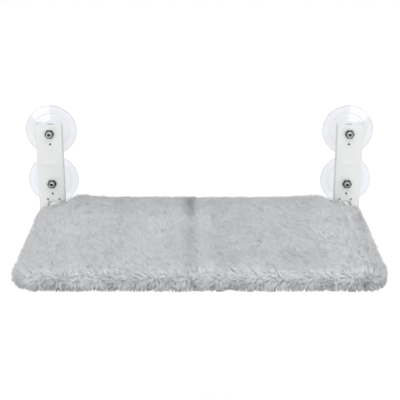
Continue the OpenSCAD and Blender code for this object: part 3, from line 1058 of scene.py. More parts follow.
@dataclass(frozen=True)
class HexNut:
    """A plain or locking hex nut on Z from its seat."""

    across_flats: float
    height: float
    bore_radius: float
    face_radius: float
    collar: float = 0.0
    beyond: float = 0.4 * MM
    chamfer_slope: float = 0.58
    collar_in: float = 0.3 * MM
    sink: float = 0.55 * MM
    sink_depth: float = 0.6 * MM
    bore_edge: float = 0.6 * MM

    def build(self) -> bpy.types.Object:
        """The nut with chamfered corners, a countersunk bore and, on a lock nut, its collar.

        Returns:
            One nut at the origin.
        """
        hex_top, flat = self.height - self.collar, self.face_radius
        wide = corner_radius(self.across_flats) + self.beyond
        nut = hexagon("nut_pattern", self.across_flats, hex_top)
        rise = (wide - flat) * self.chamfer_slope
        envelope = [(flat, 0.0), (wide, rise), (wide, hex_top - rise), (flat, hex_top)]
        carve(nut, turned("nut_envelope", envelope), Carve.KEEP)
        if self.collar:
            shoulder = flat - self.collar_in
            carve(nut, turned("nut_collar", [
                (shoulder, hex_top - 0.5 * MM),
                (shoulder, self.height - 0.7 * MM),
                (shoulder - 0.25 * MM, self.height - 0.2 * MM),
                (shoulder - 0.9 * MM, self.height),
            ]), Carve.ADD)
        bore, depth, past = self.bore_radius, self.sink_depth, 0.5 * MM
        sink = bore + self.sink + past
        carve(nut, turned("nut_bore", [
            (sink, -past), (bore, depth), (bore, self.height - depth), (sink, self.height + past),
        ]))
        smooth(nut, 28)
        paint_faces(nut, "painted_light", self.painted_light)
        return nut

    def painted_light(self, face: bpy.types.MeshPolygon) -> float:
        """Painted light on a face: a painted highlight on the front, painted shade on the flats, lighter
        on the upper flat, which faces the light.

        Args:
            face: A face of the nut.

        Returns:
            From 0, dark, to 1, bright.
        """
        if self.collar:
            return 0.9
        # A painted highlight on the front face.
        if face.normal.z > 0.98:
            return 0.95
        if off_axis(face) < self.bore_radius + self.bore_edge:
            return 0.5
        # Painted shade on the flats, lighter on the upper one, which faces the light.
        on_top = face.normal.y > FACING and abs(face.normal.z) < 0.3
        return 0.3 if on_top else 0.0


@dataclass(frozen=True)
class WallBracket:
    """The right wall bracket: sheet steel folded to a channel, open towards the glass."""

    middle_x: float = 241.5 * MM
    width: float = 42 * MM
    front: float = -22 * MM
    depth: float = 14 * MM
    bottom: float = -95 * MM
    top: float = 57 * MM
    sheet: float = 1.5 * MM
    bend: float = 2.2 * MM
    cup_x: float = 240 * MM
    cup_z: float = 42 * MM
    stud_hole: float = 4.3 * MM
    peg_hole: float = 1.9 * MM
    peg_drop: float = 17.5 * MM
    rivet_x: Pair = (225.5 * MM, 257.5 * MM)
    rivet_z: float = -86.75 * MM
    rivet_hole: float = 1.55 * MM
    bead_z: float = -8.5 * MM
    bead_length: float = 20 * MM
    bead_width: float = 7 * MM
    bead_height: float = 0.6 * MM
    bead_round: float = 0.45 * MM
    worn: float = 0.25 * MM

    def channel(self) -> bpy.types.Object:
        """The folded sheet without its holes.

        Returns:
            A closed solid.
        """
        x0, x1 = self.middle_x - self.width / 2, self.middle_x + self.width / 2
        plate = block(
            "plate", (x0, self.front, self.bottom), (x1, self.front + self.depth, self.top),
        )
        front = self.front + NEAR
        round_edges(plate, lambda e: runs_along(e, 2) and middle(e).y < front, self.bend, 5)
        edit(plate)
        pick(plate, Pick.FACE, lambda f: f.normal.y > FACING or abs(f.normal.z) > FACING)
        bpy.ops.mesh.delete(type="FACE")
        done()
        apply_modifier(plate, "SOLIDIFY", thickness=self.sheet, offset=-1, use_even_offset=True)
        return plate

    def bead(self, inset: float, start: float, end: float) -> bpy.types.Object:
        """The round-ended stiffening bead, or the hollow behind it.

        Args:
            inset: How much smaller than the bead it is all round.
            start: Its back, as Y.
            end: Its front, as Y.

        Returns:
            A closed solid.
        """
        length, width = self.bead_length / 2 - inset, self.bead_width / 2 - inset
        bead = block(
            "bead", (self.middle_x - length, end, self.bead_z - width),
            (self.middle_x + length, start, self.bead_z + width),
        )
        round_edges(bead, lambda e: runs_along(e, 1), width * 0.995, 10)
        round_edges(bead, lambda f: f.normal.y < -FACING, self.bead_round, 3, Pick.FACE)
        return bead

    def build(self) -> bpy.types.Object:
        """The right bracket with its holes and bead, edges softened by the paint.

        Returns:
            The bracket in place.
        """
        plate, high = self.channel(), self.bead_height
        carve(plate, self.bead(0, self.front + 0.3 * MM, self.front - high), Carve.ADD)
        inside = self.front + self.sheet
        carve(plate, self.bead(high, inside + 1 * MM, inside - high))
        drill(plate, self.front, [
            *((self.cup_x, level * self.cup_z - drop, radius)
              for level in (1, -1)
              for drop, radius in ((0, self.stud_hole), (self.peg_drop, self.peg_hole))),
            *((x, self.rivet_z, self.rivet_hole) for x in self.rivet_x),
        ])
        soften(plate, self.worn, 2, 50)
        even_normals(plate)
        return plate


@dataclass(frozen=True)
class HingeBracket:
    """The right hinge bracket: a base plate with two round-nosed cheeks folded out of it."""

    middle_x: float = 241.5 * MM
    width: float = 38 * MM
    back: float = -22 * MM
    sheet: float = 1.5 * MM
    bottom: float = -93.5 * MM
    top: float = -68.5 * MM
    corner: float = 2 * MM
    fold: float = 1 * MM
    cheek_x: float = 238.5 * MM
    cheek_inner: float = 8.6 * MM
    cheek_height: float = 19 * MM
    pivot_y: float = -47 * MM
    pivot_z: float = -80 * MM
    pivot_hole: float = 3.05 * MM
    pivot_reach: float = 14 * MM
    notch_z: float = -68.8 * MM
    notch_hole: float = 1.7 * MM
    rivet_x: Pair = (225.5 * MM, 257.5 * MM)
    rivet_z: float = -86.75 * MM
    rivet_hole: float = 1.55 * MM
    worn: float = 0.22 * MM

    def cheek(self, inner: float, outer: float) -> bpy.types.Object:
        """One cheek between two X places, its nose rounded to a half circle.

        Args:
            inner: Its lower X.
            outer: Its higher X.

        Returns:
            A closed solid that reaches into the base plate.
        """
        half = self.cheek_height / 2
        low = (inner, self.pivot_y - half, self.pivot_z - half)
        cheek = block("cheek", low, (outer, self.back - 0.5 * MM, self.pivot_z + half))
        nose = self.pivot_y - half + NEAR
        round_edges(cheek, lambda e: runs_along(e, 0) and middle(e).y < nose, half * 0.998, 14)
        return cheek

    def build(self) -> bpy.types.Object:
        """The right hinge bracket with its folds, holes and relief notches.

        Returns:
            The bracket in place.
        """
        x0, x1 = self.middle_x - self.width / 2, self.middle_x + self.width / 2
        front, at = self.back - self.sheet, self.cheek_x
        base = block("base", (x0, front, self.bottom), (x1, self.back, self.top))
        round_edges(base, lambda e: runs_along(e, 1), self.corner, 4)
        a, b = self.cheek_inner, self.cheek_inner + self.sheet
        carve(base, self.cheek(at - b, at - a), Carve.ADD)
        carve(base, self.cheek(at + a, at + b), Carve.ADD)
        roots = (at - b, at + b)
        round_edges(
            base,
            lambda e: runs_along(e, 2) and abs(middle(e).y - front) < NEAR
            and min(abs(middle(e).x - x) for x in roots) < NEAR,
            self.fold, 4,
        )
        ends = [(at + way * self.pivot_reach, self.pivot_y, self.pivot_z) for way in (-1, 1)]
        carve(base, rod("bore", *ends, self.pivot_hole, 40))
        drill(base, front, [
            *((at + way * (a + b) / 2, self.notch_z, self.notch_hole) for way in (-1, 1)),
            *((x, self.rivet_z, self.rivet_hole) for x in self.rivet_x),
        ])
        soften(base, self.worn, 2, 50)
        even_normals(base)
        return base


@dataclass(frozen=True)
class PivotBolt:
    """A round-headed bolt with a hexagon socket, on Z from under its head, head below."""

    radius: float = 3 * MM
    root: float = 2.55 * MM
    pitch: float = 1 * MM
    head_radius: float = 5.25 * MM
    head_height: float = 3.3 * MM
    plain: float = 19.2 * MM
    length: float = 27.2 * MM
    runout: float = 0.3 * MM
    socket_flats: float = 4 * MM
    socket_depth: float = 1.8 * MM
    past: float = 0.4 * MM

    def build(self) -> bpy.types.Object:
        """The bolt with its socket and the thread at its end.

        Returns:
            One bolt at the origin, its head towards -Z.
        """
        h, r, height = self.head_height, self.head_radius, self.plain
        rings = [
            (2.6 * MM, -h), (0.62 * r, -0.97 * h), (0.82 * r, -0.8 * h), (0.95 * r, -0.45 * h),
            (r, -0.12 * h), (r - 0.15 * MM, 0.0), (self.radius, 0.0), (self.radius, height),
        ]
        while height + self.pitch < self.length - self.runout:
            rings += [(self.root, height + 0.5 * self.pitch), (self.radius, height + self.pitch)]
            height += self.pitch
        bolt = turned("bolt_pattern", [*rings, (self.root, self.length)], sides=40)
        socket = hexagon("socket", self.socket_flats, self.socket_depth + self.past)
        carve(bolt, place(socket, Matrix.Translation((0, 0, -h - self.past))))
        smooth(bolt, 30)
        paint_faces(bolt, "painted_light", self.painted_light)
        return bolt

    def painted_light(self, face: bpy.types.MeshPolygon) -> float:
        """Painted light on a face: painted shade in the socket, the thread darker with oil and painted
        shade.

        Args:
            face: A face of the bolt.

        Returns:
            From 0, dark, to 1, bright.
        """
        if face.center.z < 0:
            # Painted shade in the socket.
            return 0.15 if off_axis(face) < self.socket_flats / 2 + 0.2 * MM else 0.9
        # The thread darker with oil and painted shade.
        return 0.8 if face.center.z < self.plain else 0.45


@dataclass(frozen=True)
class WindowBrackets:
    """All that stays on the window: cups, studs, nuts, brackets, rivets and pivots."""

    cup: SuctionCup = SuctionCup()
    stud: CupStud = CupStud()
    plate: WallBracket = WallBracket()
    hinge: HingeBracket = HingeBracket()
    bolt: PivotBolt = PivotBolt()
    cup_nut: HexNut = HexNut(13 * MM, 6 * MM, 4.05 * MM, 5.1 * MM)
    lock_nut: HexNut = HexNut(10 * MM, 6 * MM, 3.05 * MM, 4.7 * MM, collar=1.8 * MM)
    web_front: float = 22 * MM
    bolt_seat: float = 228.4 * MM
    nut_seat: float = 248.6 * MM

    def at_cup(self, side: Side, level: int, out: float = 0.0) -> Matrix:
        """Where a shape made on Z goes to stand out from the glass at one cup.

        Args:
            side: Left or right.
            level: 1 for the upper cup, -1 for the lower one.
            out: How far from the glass it starts.

        Returns:
            The placing.
        """
        where = Vector((side.value * self.plate.cup_x, -out, level * self.plate.cup_z))
        return Matrix.Translation(where) @ Euler((QUARTER, 0, 0)).to_matrix().to_4x4()

    def at_pivot(self, x: float) -> Matrix:
        """Where a shape made on Z goes to lie along X on the right pivot axis.

        Args:
            x: Where it starts.

        Returns:
            The placing.
        """
        where = Vector((x, self.hinge.pivot_y, self.hinge.pivot_z))
        return Matrix.Translation(where) @ Euler((0, QUARTER, 0)).to_matrix().to_4x4()

    def both(self, right: bpy.types.Object, name: str, finish: Finish, node: str) -> None:
        """Fits a right-hand piece and its mirror image.

        Args:
            right: The right piece, in place.
            name: The pieces' name, which the side goes before.
            finish: Their finish.
            node: The end of the CAD nodes' names.
        """
        left = copy_of(right, f"left_{name}", Matrix.Scale(-1, 4, (1, 0, 0)))
        right.name = f"right_{name}"
        for obj, side in ((left, "left"), (right, "right")):
            fit(obj, finish, BRACKETS, f"{side}_{node}")

    def cups(self) -> None:
        """The four cups from one pattern."""
        pattern = self.cup.build()
        for side in Side:
            for level, word in ((1, "upper"), (-1, "lower")):
                end = f"{word}_{side.name.lower()}"
                cup = copy_of(pattern, f"clear_cup_{end}", self.at_cup(side, level))
                fit(cup, ClearVinyl(), BRACKETS, f"{end}_cup")
        bpy.data.meshes.remove(pattern.data)

    def fixings(self, zinc: ZincPlate) -> None:
        """Each side's two studs as one piece, and its two nuts as another.

        Args:
            zinc: Their finish.
        """
        for pattern, name, node, out in (
            (self.stud.build(), "threaded_studs", "cup_studs", 0.0),
            (self.cup_nut.build(), "hex_nuts", "cup_nuts", self.web_front),
        ):
            for side in Side:
                word = side.name.lower()
                pair = [copy_of(pattern, "copy", self.at_cup(side, level, out)) for level in (1, -1)]
                fit(joined(f"{word}_{name}", pair), zinc, BRACKETS, f"{word}_{node}")
            bpy.data.meshes.remove(pattern.data)

    def build(self) -> None:
        """Builds, dresses and places every piece."""
        paint, zinc = PowderCoat(), ZincPlate(by_face=True, name="zinc_plate_faced")
        self.cups()
        self.fixings(zinc)
        self.both(self.plate.build(), "plate", paint, "wall_bracket")
        self.both(self.hinge.build(), "hinge_cheeks", paint, "hinge_bracket")
        bolt = place(self.bolt.build(), self.at_pivot(self.bolt_seat))
        self.both(bolt, "hinge_bolt", zinc, "pivot_bolt")
        nut = place(self.lock_nut.build(), self.at_pivot(self.nut_seat))
        self.both(nut, "hinge_nut", zinc, "pivot_nut")
        dress(paint, "left_hinge_rivets", "right_hinge_rivets")
        dress(NaturalNylon(), "left_pivot_washers", "right_pivot_washers")


@dataclass(frozen=True)
class PanelPlan:
    """The stepped plan that the tubes leave inside the frame, as a flat solid.

    The wide part reaches from the front back to the step, the narrow part from the front to the rear.
    """

    side_x: float
    step_y: float
    front_y: float
    front_r: float
    rear_x: float
    rear_y: float
    rear_r: float
    overlap: float = 30 * MM

    def solid(
        self, name: str, bottom: float, top: float, top_round: float = 0.0,
    ) -> bpy.types.Object:
        """The plan between two heights.

        Args:
            name: The solid's name.
            bottom: Its lower Z.
            top: Its upper Z.
            top_round: Radius of its upper edge.

        Returns:
            A closed solid.
        """
        wide = block(
            name, (-self.side_x, self.front_y, bottom), (self.side_x, self.step_y, top),
        )
        start, front, rear = self.front_y + self.overlap, self.front_y + NEAR, self.rear_y - NEAR
        round_edges(wide, lambda e: runs_along(e, 2) and middle(e).y < front, self.front_r, 10)
        narrow = block("narrow", (-self.rear_x, start, bottom), (self.rear_x, self.rear_y, top))
        round_edges(narrow, lambda e: runs_along(e, 2) and middle(e).y > rear, self.rear_r, 14)
        if top_round:
            for part in (wide, narrow):
                round_edges(part, lambda e: min(v.co.z for v in e.verts) > top - NEAR, top_round, 4)
        carve(wide, narrow, Carve.ADD)
        return wide

    def area(self) -> float:
        """The plan's area.

        Returns:
            Square metres.
        """
        wide = 2 * self.side_x * (self.step_y - self.front_y)
        narrow = 2 * self.rear_x * (self.rear_y - self.step_y)
        corners = (1 - math.pi / 4) * 2 * (self.front_r ** 2 + self.rear_r ** 2)
        return wide + narrow - corners

    def covers(self, points: np.ndarray, inset: float) -> np.ndarray:
        """True for points that lie over the plan.

        Args:
            points: Places, one a row.
            inset: How far inside the plan's edge they must be.

        Returns:
            One truth value a point.
        """
        x, y = np.abs(points[:, 0]), points[:, 1]

        def inside(half: float, past: np.ndarray, r: float) -> np.ndarray:
            """True between the sides and within the round corners at one end."""
            out = np.hypot(np.maximum(x - (half - r), 0), np.maximum(past, 0))
            return (x < half - inset) & (out < r - inset)

        wide = inside(self.side_x, self.front_y + self.front_r - y, self.front_r)
        wide &= (y < self.step_y - inset) & (y > self.front_y + inset)
        narrow = inside(self.rear_x, y - (self.rear_y - self.rear_r), self.rear_r)
        narrow &= (y < self.rear_y - inset) & (y > self.front_y + self.rear_r)
        return wide | narrow


@dataclass(frozen=True)
class Sling:
    """The cloth that carries the cat, hemmed round the tubes."""

    plan: PanelPlan = PanelPlan(
        230.3 * MM, -152.2 * MM, -301.8 * MM, 21.8 * MM, 217.2 * MM, -37.2 * MM, 62.8 * MM,
    )
    tube_z: float = -80 * MM
    front_y: float = -310 * MM
    rear_y: float = -30 * MM
    side_x: float = 238.5 * MM
    half_cloth: float = 0.5 * MM
    front_hem: Pair = (60 * MM, 190 * MM)
    rear_hem: Pair = (60 * MM, 150 * MM)
    side_hem: Pair = (-158 * MM, -268 * MM)
    hem_radii: Pair = (8.7 * MM, 7.7 * MM)
    rear_hem_radii: Pair = (7.7 * MM, 6.7 * MM)
    worn: float = 0.2 * MM

    def hems(self, side: int) -> list[tuple[Vector, Vector, float, float]]:
        """The three hems of one side.

        Args:
            side: -1 for left, 1 for right.

        Returns:
            Both ends of each hem, and its outer and inner radius.
        """
        across = (
            (self.front_hem, self.front_y, self.hem_radii),
            (self.rear_hem, self.rear_y, self.rear_hem_radii),
        )
        ends = [([Vector((side * x, y, self.tube_z)) for x in xs], radii) for xs, y, radii in across]
        along = [Vector((side * self.side_x, y, self.tube_z)) for y in self.side_hem]
        return [(*pair, *radii) for pair, radii in (*ends, (along, self.hem_radii))]

    def build(self, finish: WovenCloth) -> None:
        """The panel with its six hems.

        Args:
            finish: The sling's cloth.
        """
        z = self.tube_z
        sling = self.plan.solid("sling_cloth", z - self.half_cloth, z + self.half_cloth)
        every = [hem for side in (1, -1) for hem in self.hems(side)]
        for start, end, outer, _ in every:
            carve(sling, rod("hem", start, end, outer), Carve.ADD)
        for start, end, _, inner in every:
            past = (end - start).normalized() * MM
            carve(sling, rod("tube_room", start - past, end + past, inner))
        soften(sling, self.worn, 1, 50)
        smooth(sling, 40)
        fit(sling, finish, SEAT, "seat_sling")
        around = sum(math.pi * (o + i) * (e - s).length for s, e, o, i in every)
        round(self.plan.area() + around, 4)


@dataclass(frozen=True)
class FoamPad:
    """The flat foam pad on the sling."""

    plan: PanelPlan = PanelPlan(
        228.9 * MM, -153.6 * MM, -300.4 * MM, 20.4 * MM, 215.8 * MM, -38.6 * MM, 61.4 * MM,
    )
    bottom: float = -79.45 * MM
    top: float = -71.55 * MM
    worn: float = 1.6 * MM

    def build(self) -> None:
        """The pad, its cut edges rounded where they have worn soft."""
        pad = self.plan.solid("foam_block", self.bottom, self.top)
        soften(pad, self.worn, 3, 60)
        smooth(pad, 50)
        fit(pad, OpenFoam(), SEAT, "foam_pad")


@dataclass(frozen=True)
class StitchRow:
    """A row of sewn stitches on an underside, from one modelled stitch."""

    pitch: float = 3 * MM
    drop: float = 0.2 * MM
    long_share: float = 0.36
    half_width: float = 0.22 * MM
    edge: float = 0.12 * MM

    def build(self, name: str, start: Vector, end: Vector) -> bpy.types.Object:
        """The row between two places.

        Args:
            name: The row's name.
            start: Where the row starts.
            end: Where it ends.

        Returns:
            The row as one object.
        """
        way = end - start
        high = Vector((self.long_share * self.pitch, self.half_width, self.drop))
        stitch = block(name, -high, high)
        round_edges(stitch, lambda e: True, self.edge, 1)
        apply_modifier(
            stitch, "ARRAY", count=max(int(way.length / self.pitch), 1), use_relative_offset=False,
            use_constant_offset=True, constant_offset_displace=(self.pitch, 0, 0),
        )
        turn = Matrix.Rotation(math.atan2(way.y, way.x), 4, "Z")
        place(stitch, Matrix.Translation(start) @ turn)
        smooth(stitch, 60)
        return stitch


@dataclass(frozen=True)
class CoverBase:
    """The cover's plain underside, its slit and the tape that closes the slit."""

    plan: PanelPlan = PanelPlan(
        247.8 * MM, -71.1 * MM, -319.3 * MM, 39.3 * MM, 232.7 * MM, -21.7 * MM, 78.3 * MM,
    )
    bottom: float = -91.5 * MM
    top: float = -90.3 * MM
    slit_y: float = -90 * MM
    slit_length: float = 360 * MM
    slit_width: float = 3 * MM
    tape_length: float = 385 * MM
    tape_width: float = 25 * MM
    tape_thick: float = 1 * MM
    seam_inset: float = 2.5 * MM
    worn: float = 0.25 * MM
    seam: StitchRow = StitchRow()

    def build(self, finish: WovenCloth) -> None:
        """The underside with its slit, and the tape under it.

        Args:
            finish: The underside's cloth.
        """
        cloth = self.plan.solid("underside_cloth", self.bottom, self.top)
        half, wide = self.slit_length / 2, self.slit_width / 2
        carve(cloth, block(
            "slit", (-half, self.slit_y - wide, self.bottom - MM),
            (half, self.slit_y + wide, self.top + MM),
        ))
        soften(cloth, self.worn, 1, 50)
        smooth(cloth, 40)
        fit(cloth, finish, SEAT, "cover_base")
        self.plan.area()
        self.tape(cloth)

    def tape(self, cloth: bpy.types.Object) -> None:
        """The round-ended closing tape with a sewn row along each edge.

        Args:
            cloth: The underside that it is sewn to.
        """
        length, width = self.tape_length / 2, self.tape_width / 2
        low = self.bottom - self.tape_thick
        tape = block(
            "closing_tape", (-length, self.slit_y - width, low),
            (length, self.slit_y + width, self.bottom),
        )
        round_edges(tape, lambda e: runs_along(e, 2), width * 0.995, 12)
        soften(tape, self.worn, 2, 50)
        smooth(tape, 40)
        fit(tape, HookTape(), SEAT, "closure_tape")
        rows = []
        for edge in (-1, 1):
            y = self.slit_y + edge * (width - self.seam_inset)
            ends = [Vector((x, y, low)) for x in (-length + width, length - width)]
            rows.append(self.seam.build("tape_stitches", *ends))
        fit(joined("tape_stitching", rows), HookTape(), SEAT)


class SeatFrame:
    """The tubes inside the cover, with their joiners, screws and plugs."""

    def build(self) -> None:
        """Dresses the CAD tubes and their small parts."""
        dress(PowderCoat(), *(f"{side}_{end}_tube" for side in ("left", "right")
                              for end in ("side", "rear")))
        dress(NaturalNylon(), "left_end_plug", "right_end_plug")
        dress(ZincPlate(), *(f"{end}_{what}" for end in ("front", "rear")
                             for what in ("joiner", "joiner_screws")))


def soft_noise(points: np.ndarray, cell: float, seed: int) -> np.ndarray:
    """Smooth noise that is the same each run.

    Args:
        points: Places, one a row.
        cell: The size of its features.
        seed: Which noise it is.

    Returns:
        A number from -1 to 1 for each place.
    """
    size, far_corner = 64, 1000.0
    lattice = np.random.default_rng(seed).uniform(-1, 1, (size, size, size))
    scaled = points / cell + far_corner
    base = np.floor(scaled).astype(int)
    part = scaled - base
    part = part * part * (3 - 2 * part)
    total = np.zeros(len(points))
    for corner in np.ndindex(2, 2, 2):
        weight = np.prod(np.where(corner, part, 1 - part), axis=1)
        at = (base + corner) % size
        total += weight * lattice[at[:, 0], at[:, 1], at[:, 2]]
    return total


def layered(
    start: float, points: np.ndarray, layers: Sequence[tuple[float, float, int]],
) -> np.ndarray:
    """A level with layers of noise on it.

    Args:
        start: The level.
        points: Places, one a row.
        layers: The height, the cell and the seed of each layer.

    Returns:
        One number a place.
    """
    for height, cell, seed in layers:
        start = start + height * soft_noise(points, cell, seed)
    return start


def unit(vectors: np.ndarray) -> np.ndarray:
    """Each row at length 1."""
    return vectors / np.maximum(np.linalg.norm(vectors, axis=1, keepdims=True), 1e-9)


def share_of(values: np.ndarray) -> np.ndarray:
    """The values, held between 0 and 1."""
    return np.clip(values, 0, 1)


def read(mesh: bpy.types.Mesh, what: str) -> np.ndarray:
    """Reads what a mesh's vertices hold.

    Args:
        mesh: The mesh.
        what: Their places, co, or their directions, normal.

    Returns:
        One row a vertex.
    """
    values = np.empty(len(mesh.vertices) * 3)
    mesh.vertices.foreach_get(what, values)
    return values.reshape(-1, 3)


def write(mesh: bpy.types.Mesh, places: np.ndarray) -> None:
    """Moves a mesh's vertices to new places, one a row."""
    mesh.vertices.foreach_set("co", places.ravel())
    mesh.update()


def group_means(group: np.ndarray, values: np.ndarray) -> np.ndarray:
    """The mean row of each group.

    Args:
        group: Each row's group number.
        values: The rows.

    Returns:
        One row a group.
    """
    sums = np.stack([np.bincount(group, column) for column in values.T], axis=1)
    return sums / np.bincount(group)[:, None]


@dataclass(frozen=True)
class Band:
    """A stretch of a coordinate: where it starts and its width, which is negative to count down."""

    start: float
    width: float

    def share(self, values: np.ndarray) -> np.ndarray:
        """From 0 where the band starts to 1 where it ends, and past it."""
        return share_of((values - self.start) / self.width)

    def bell(self, values: np.ndarray) -> np.ndarray:
        """1 where the band starts, and less on both sides of it."""
        return np.exp(-((values - self.start) / self.width) ** 2)


@dataclass(frozen=True)
class CoverSkin:
    """The plush cover's sewn skin, swollen a little by its filling and hollowed for the frame."""

    half_width: float = 254.5 * MM
    front_y: float = -324.5 * MM
    rear_y: float = -16.0 * MM
    top: float = -66.3 * MM
    bottom: float = -91.5 * MM
    cut_from: Pair = (203 * MM, -16.0 * MM)
    cut_to: Pair = (224 * MM, -63.0 * MM)
    front_corner: float = 33 * MM
    rear_corner: float = 9 * MM
    top_edge: float = 5.5 * MM
    bottom_edge: float = 4 * MM
    cutter_rear: float = 20 * MM
    cutter_z: Pair = (-120 * MM, -40 * MM)
    cutter_side: float = 300 * MM
    swell: float = 2.5 * MM
    swell_steps: int = 20
    pressure: float = 4
    voxel: float = 5 * MM
    upper: Band = Band(-6 * MM, 5 * MM)
    crease: Band = Band(-3.5 * MM, 7 * MM)
    crease_depth: float = 1.3 * MM
    waves: tuple = ((0.5 * MM, 45 * MM, 3), (0.25 * MM, 16 * MM, 4))
    roof_x: float = 240 * MM
    roof_y: Pair = (-312 * MM, -30 * MM)
    roof_thick: float = 0.5 * MM
    side_x: float = 244 * MM
    face_y: float = -314 * MM
    ripples: tuple = ((0.6 * MM, 30 * MM, 5),)
    tube_x: float = 238.5 * MM
    tube_y: float = -80 * MM
    tube_z: float = -80 * MM
    tube_room: float = 8 * MM
    cavity: PanelPlan = PanelPlan(
        247.9 * MM, -71 * MM, -319.4 * MM, 39.4 * MM, 232.8 * MM, -21.6 * MM, 78.4 * MM,
    )
    cavity_low: float = -100 * MM
    cavity_top: float = -71.3 * MM
    cavity_round: float = 7.5 * MM
    bald_inset: float = 1.5 * MM
    facing_down: float = -0.6
    facing_up: float = 0.8
    density: tuple[float, float, float] = (1.0, 1.25, 0.6)
    row: float = 6 * MM
    backing_box: tuple = ((0.27, 0.34, 0.1), (0.54, 0.36, 0.05))
    backing_band: Pair = (0.01, 0.18)

    def blank(self) -> bpy.types.Object:
        """The cover's plain shape, a little under size, with its cut rear corners.

        Returns:
            A closed solid.
        """
        s = 0.2 * self.swell
        low = (-self.half_width + s, self.front_y + s, self.bottom + s)
        high = (self.half_width - s, self.rear_y - s, self.top - self.swell)
        skin = block("plush_skin", low, high)
        front = low[1] + NEAR
        round_edges(
            skin, lambda e: runs_along(e, 2) and middle(e).y < front, self.front_corner, 8,
        )
        (x0, _), (x1, y1) = self.cut_from, self.cut_to
        slope = (x1 - x0) / (self.rear_y - y1)
        reach = slope * (self.cutter_rear - y1 + s)
        for side in (-1, 1):
            inner = side * (x1 - s)
            ends = sorted((inner, side * self.cutter_side))
            (z0, z1), y2 = self.cutter_z, self.cutter_rear
            cutter = block("corner", (ends[0], y1 - s, z0), (ends[1], y2, z1))
            edit(cutter)
            pick(cutter, Pick.VERT, lambda v: abs(v.co.x - inner) < NEAR and v.co.y > 0)
            bpy.ops.transform.translate(value=(-side * reach, 0, 0))
            done()
            carve(skin, cutter)
        rear, top, bottom = y1 - 2 * s, high[2] - NEAR, low[2] + NEAR
        for test, width, segments in (
            (lambda e: runs_along(e, 2) and middle(e).y > rear, self.rear_corner, 4),
            (lambda e: min(v.co.z for v in e.verts) > top, self.top_edge, 3),
            (lambda e: max(v.co.z for v in e.verts) < bottom, self.bottom_edge, 2),
        ):
            round_edges(skin, test, width, segments)
        apply_modifier(skin, "REMESH", mode="VOXEL", voxel_size=self.voxel)
        return skin

    def inflate(self, skin: bpy.types.Object) -> None:
        """Lets the skin swell as cloth under slight pressure, up to a cap.

        Args:
            skin: The closed skin.
        """
        before = read(skin.data, "co")
        activate(skin)
        cloth = skin.modifiers.new("Cloth", "CLOTH")
        cloth.settings.use_pressure = True
        cloth.settings.uniform_pressure_force = self.pressure
        cloth.settings.effector_weights.gravity = 0
        cloth.point_cache.frame_start, cloth.point_cache.frame_end = 1, self.swell_steps
        for step in range(1, self.swell_steps + 1):
            bpy.context.scene.frame_set(step)
        bpy.ops.object.modifier_apply(modifier=cloth.name)
        after = read(skin.data, "co")
        bpy.context.scene.frame_set(1)
        move = after - before
        far = np.linalg.norm(move, axis=1, keepdims=True)
        move *= np.minimum(1, self.swell / np.maximum(far, 1e-9))
        write(skin.data, before + move)

    def shape(self, skin: bpy.types.Object) -> None:
        """Adds the crease where the seat folds in half and a slight unevenness.

        Args:
            skin: The swollen skin.
        """
        co = read(skin.data, "co")
        up = self.upper.share(co[:, 2] - self.top)
        dent = self.crease_depth * self.crease.bell(co[:, 0])
        co[:, 2] += up * (layered(0.0, co, self.waves) - dent)
        front, rear = self.roof_y
        inside = (np.abs(co[:, 0]) < self.roof_x) & (co[:, 1] < rear) & (co[:, 1] > front)
        least = np.where(inside & (up > 0.2), self.cavity_top + self.roof_thick, -1)
        co[:, 2] = np.maximum(co[:, 2], least)
        ripple = layered(0.0, co, self.ripples) * (1 - up)
        out = np.zeros_like(co)
        out[:, 0] = np.where(np.abs(co[:, 0]) > self.side_x, np.sign(co[:, 0]), 0)
        out[:, 1] = np.where(co[:, 1] < self.face_y, -1, 0)
        write(skin.data, co + ripple[:, None] * out)

    def hollow(self, skin: bpy.types.Object) -> None:
        """Cuts the room for foam, sling and frame, and the two exits of the side tubes.

        Args:
            skin: The shaped skin.
        """
        room = self.cavity.solid("room", self.cavity_low, self.cavity_top, self.cavity_round)
        carve(skin, room)
        for x in (-self.tube_x, self.tube_x):
            exit_ = rod("exit", (x, self.tube_y, self.tube_z), (x, 0, self.tube_z), self.tube_room)
            carve(skin, exit_)

    def roots(self, skin: bpy.types.Object, count: int) -> tuple[np.ndarray, np.ndarray]:
        """Places for tufts, spread evenly over the outside of the skin.

        Args:
            skin: The closed skin before it is hollowed.
            count: How many places.

        Returns:
            The places and the skin's outward directions there.
        """
        mesh = skin.data
        mesh.calc_loop_triangles()
        tris = np.empty(len(mesh.loop_triangles) * 3, int)
        mesh.loop_triangles.foreach_get("vertices", tris)
        tris = tris.reshape(-1, 3)
        co, normals = read(mesh, "co"), read(mesh, "normal")
        a, b, c = (co[tris[:, k]] for k in range(3))
        cross = np.cross(b - a, c - a)
        centre, way = (a + b + c) / 3, unit(cross)
        below = way[:, 2] < self.facing_down
        under = below & self.cavity.covers(centre, self.bald_inset)
        on_top, on_sides, on_hem = self.density
        weight = np.linalg.norm(cross, axis=1) / 2 * np.where(under, 0, 1)
        weight *= np.where(way[:, 2] > self.facing_up, on_top, on_sides)
        weight *= np.where(below, on_hem, 1.0)
        rng = np.random.default_rng(11)
        order = np.lexsort((centre[:, 0], np.round(centre[:, 1] / self.row), way[:, 2] < 0))
        total = np.cumsum(weight[order])
        want = (np.arange(count) + rng.random(count)) / count * total[-1]
        face = order[np.minimum(np.searchsorted(total, want), len(order) - 1)]
        u, v = rng.random(count), rng.random(count)
        over = u + v > 1
        u[over], v[over] = 1 - u[over], 1 - v[over]
        shares = [part[:, None] for part in (1 - u - v, u, v)]
        places, away = (
            sum(rows[tris[face, k]] * share for k, share in enumerate(shares))
            for rows in (co, normals)
        )
        return places, unit(away)

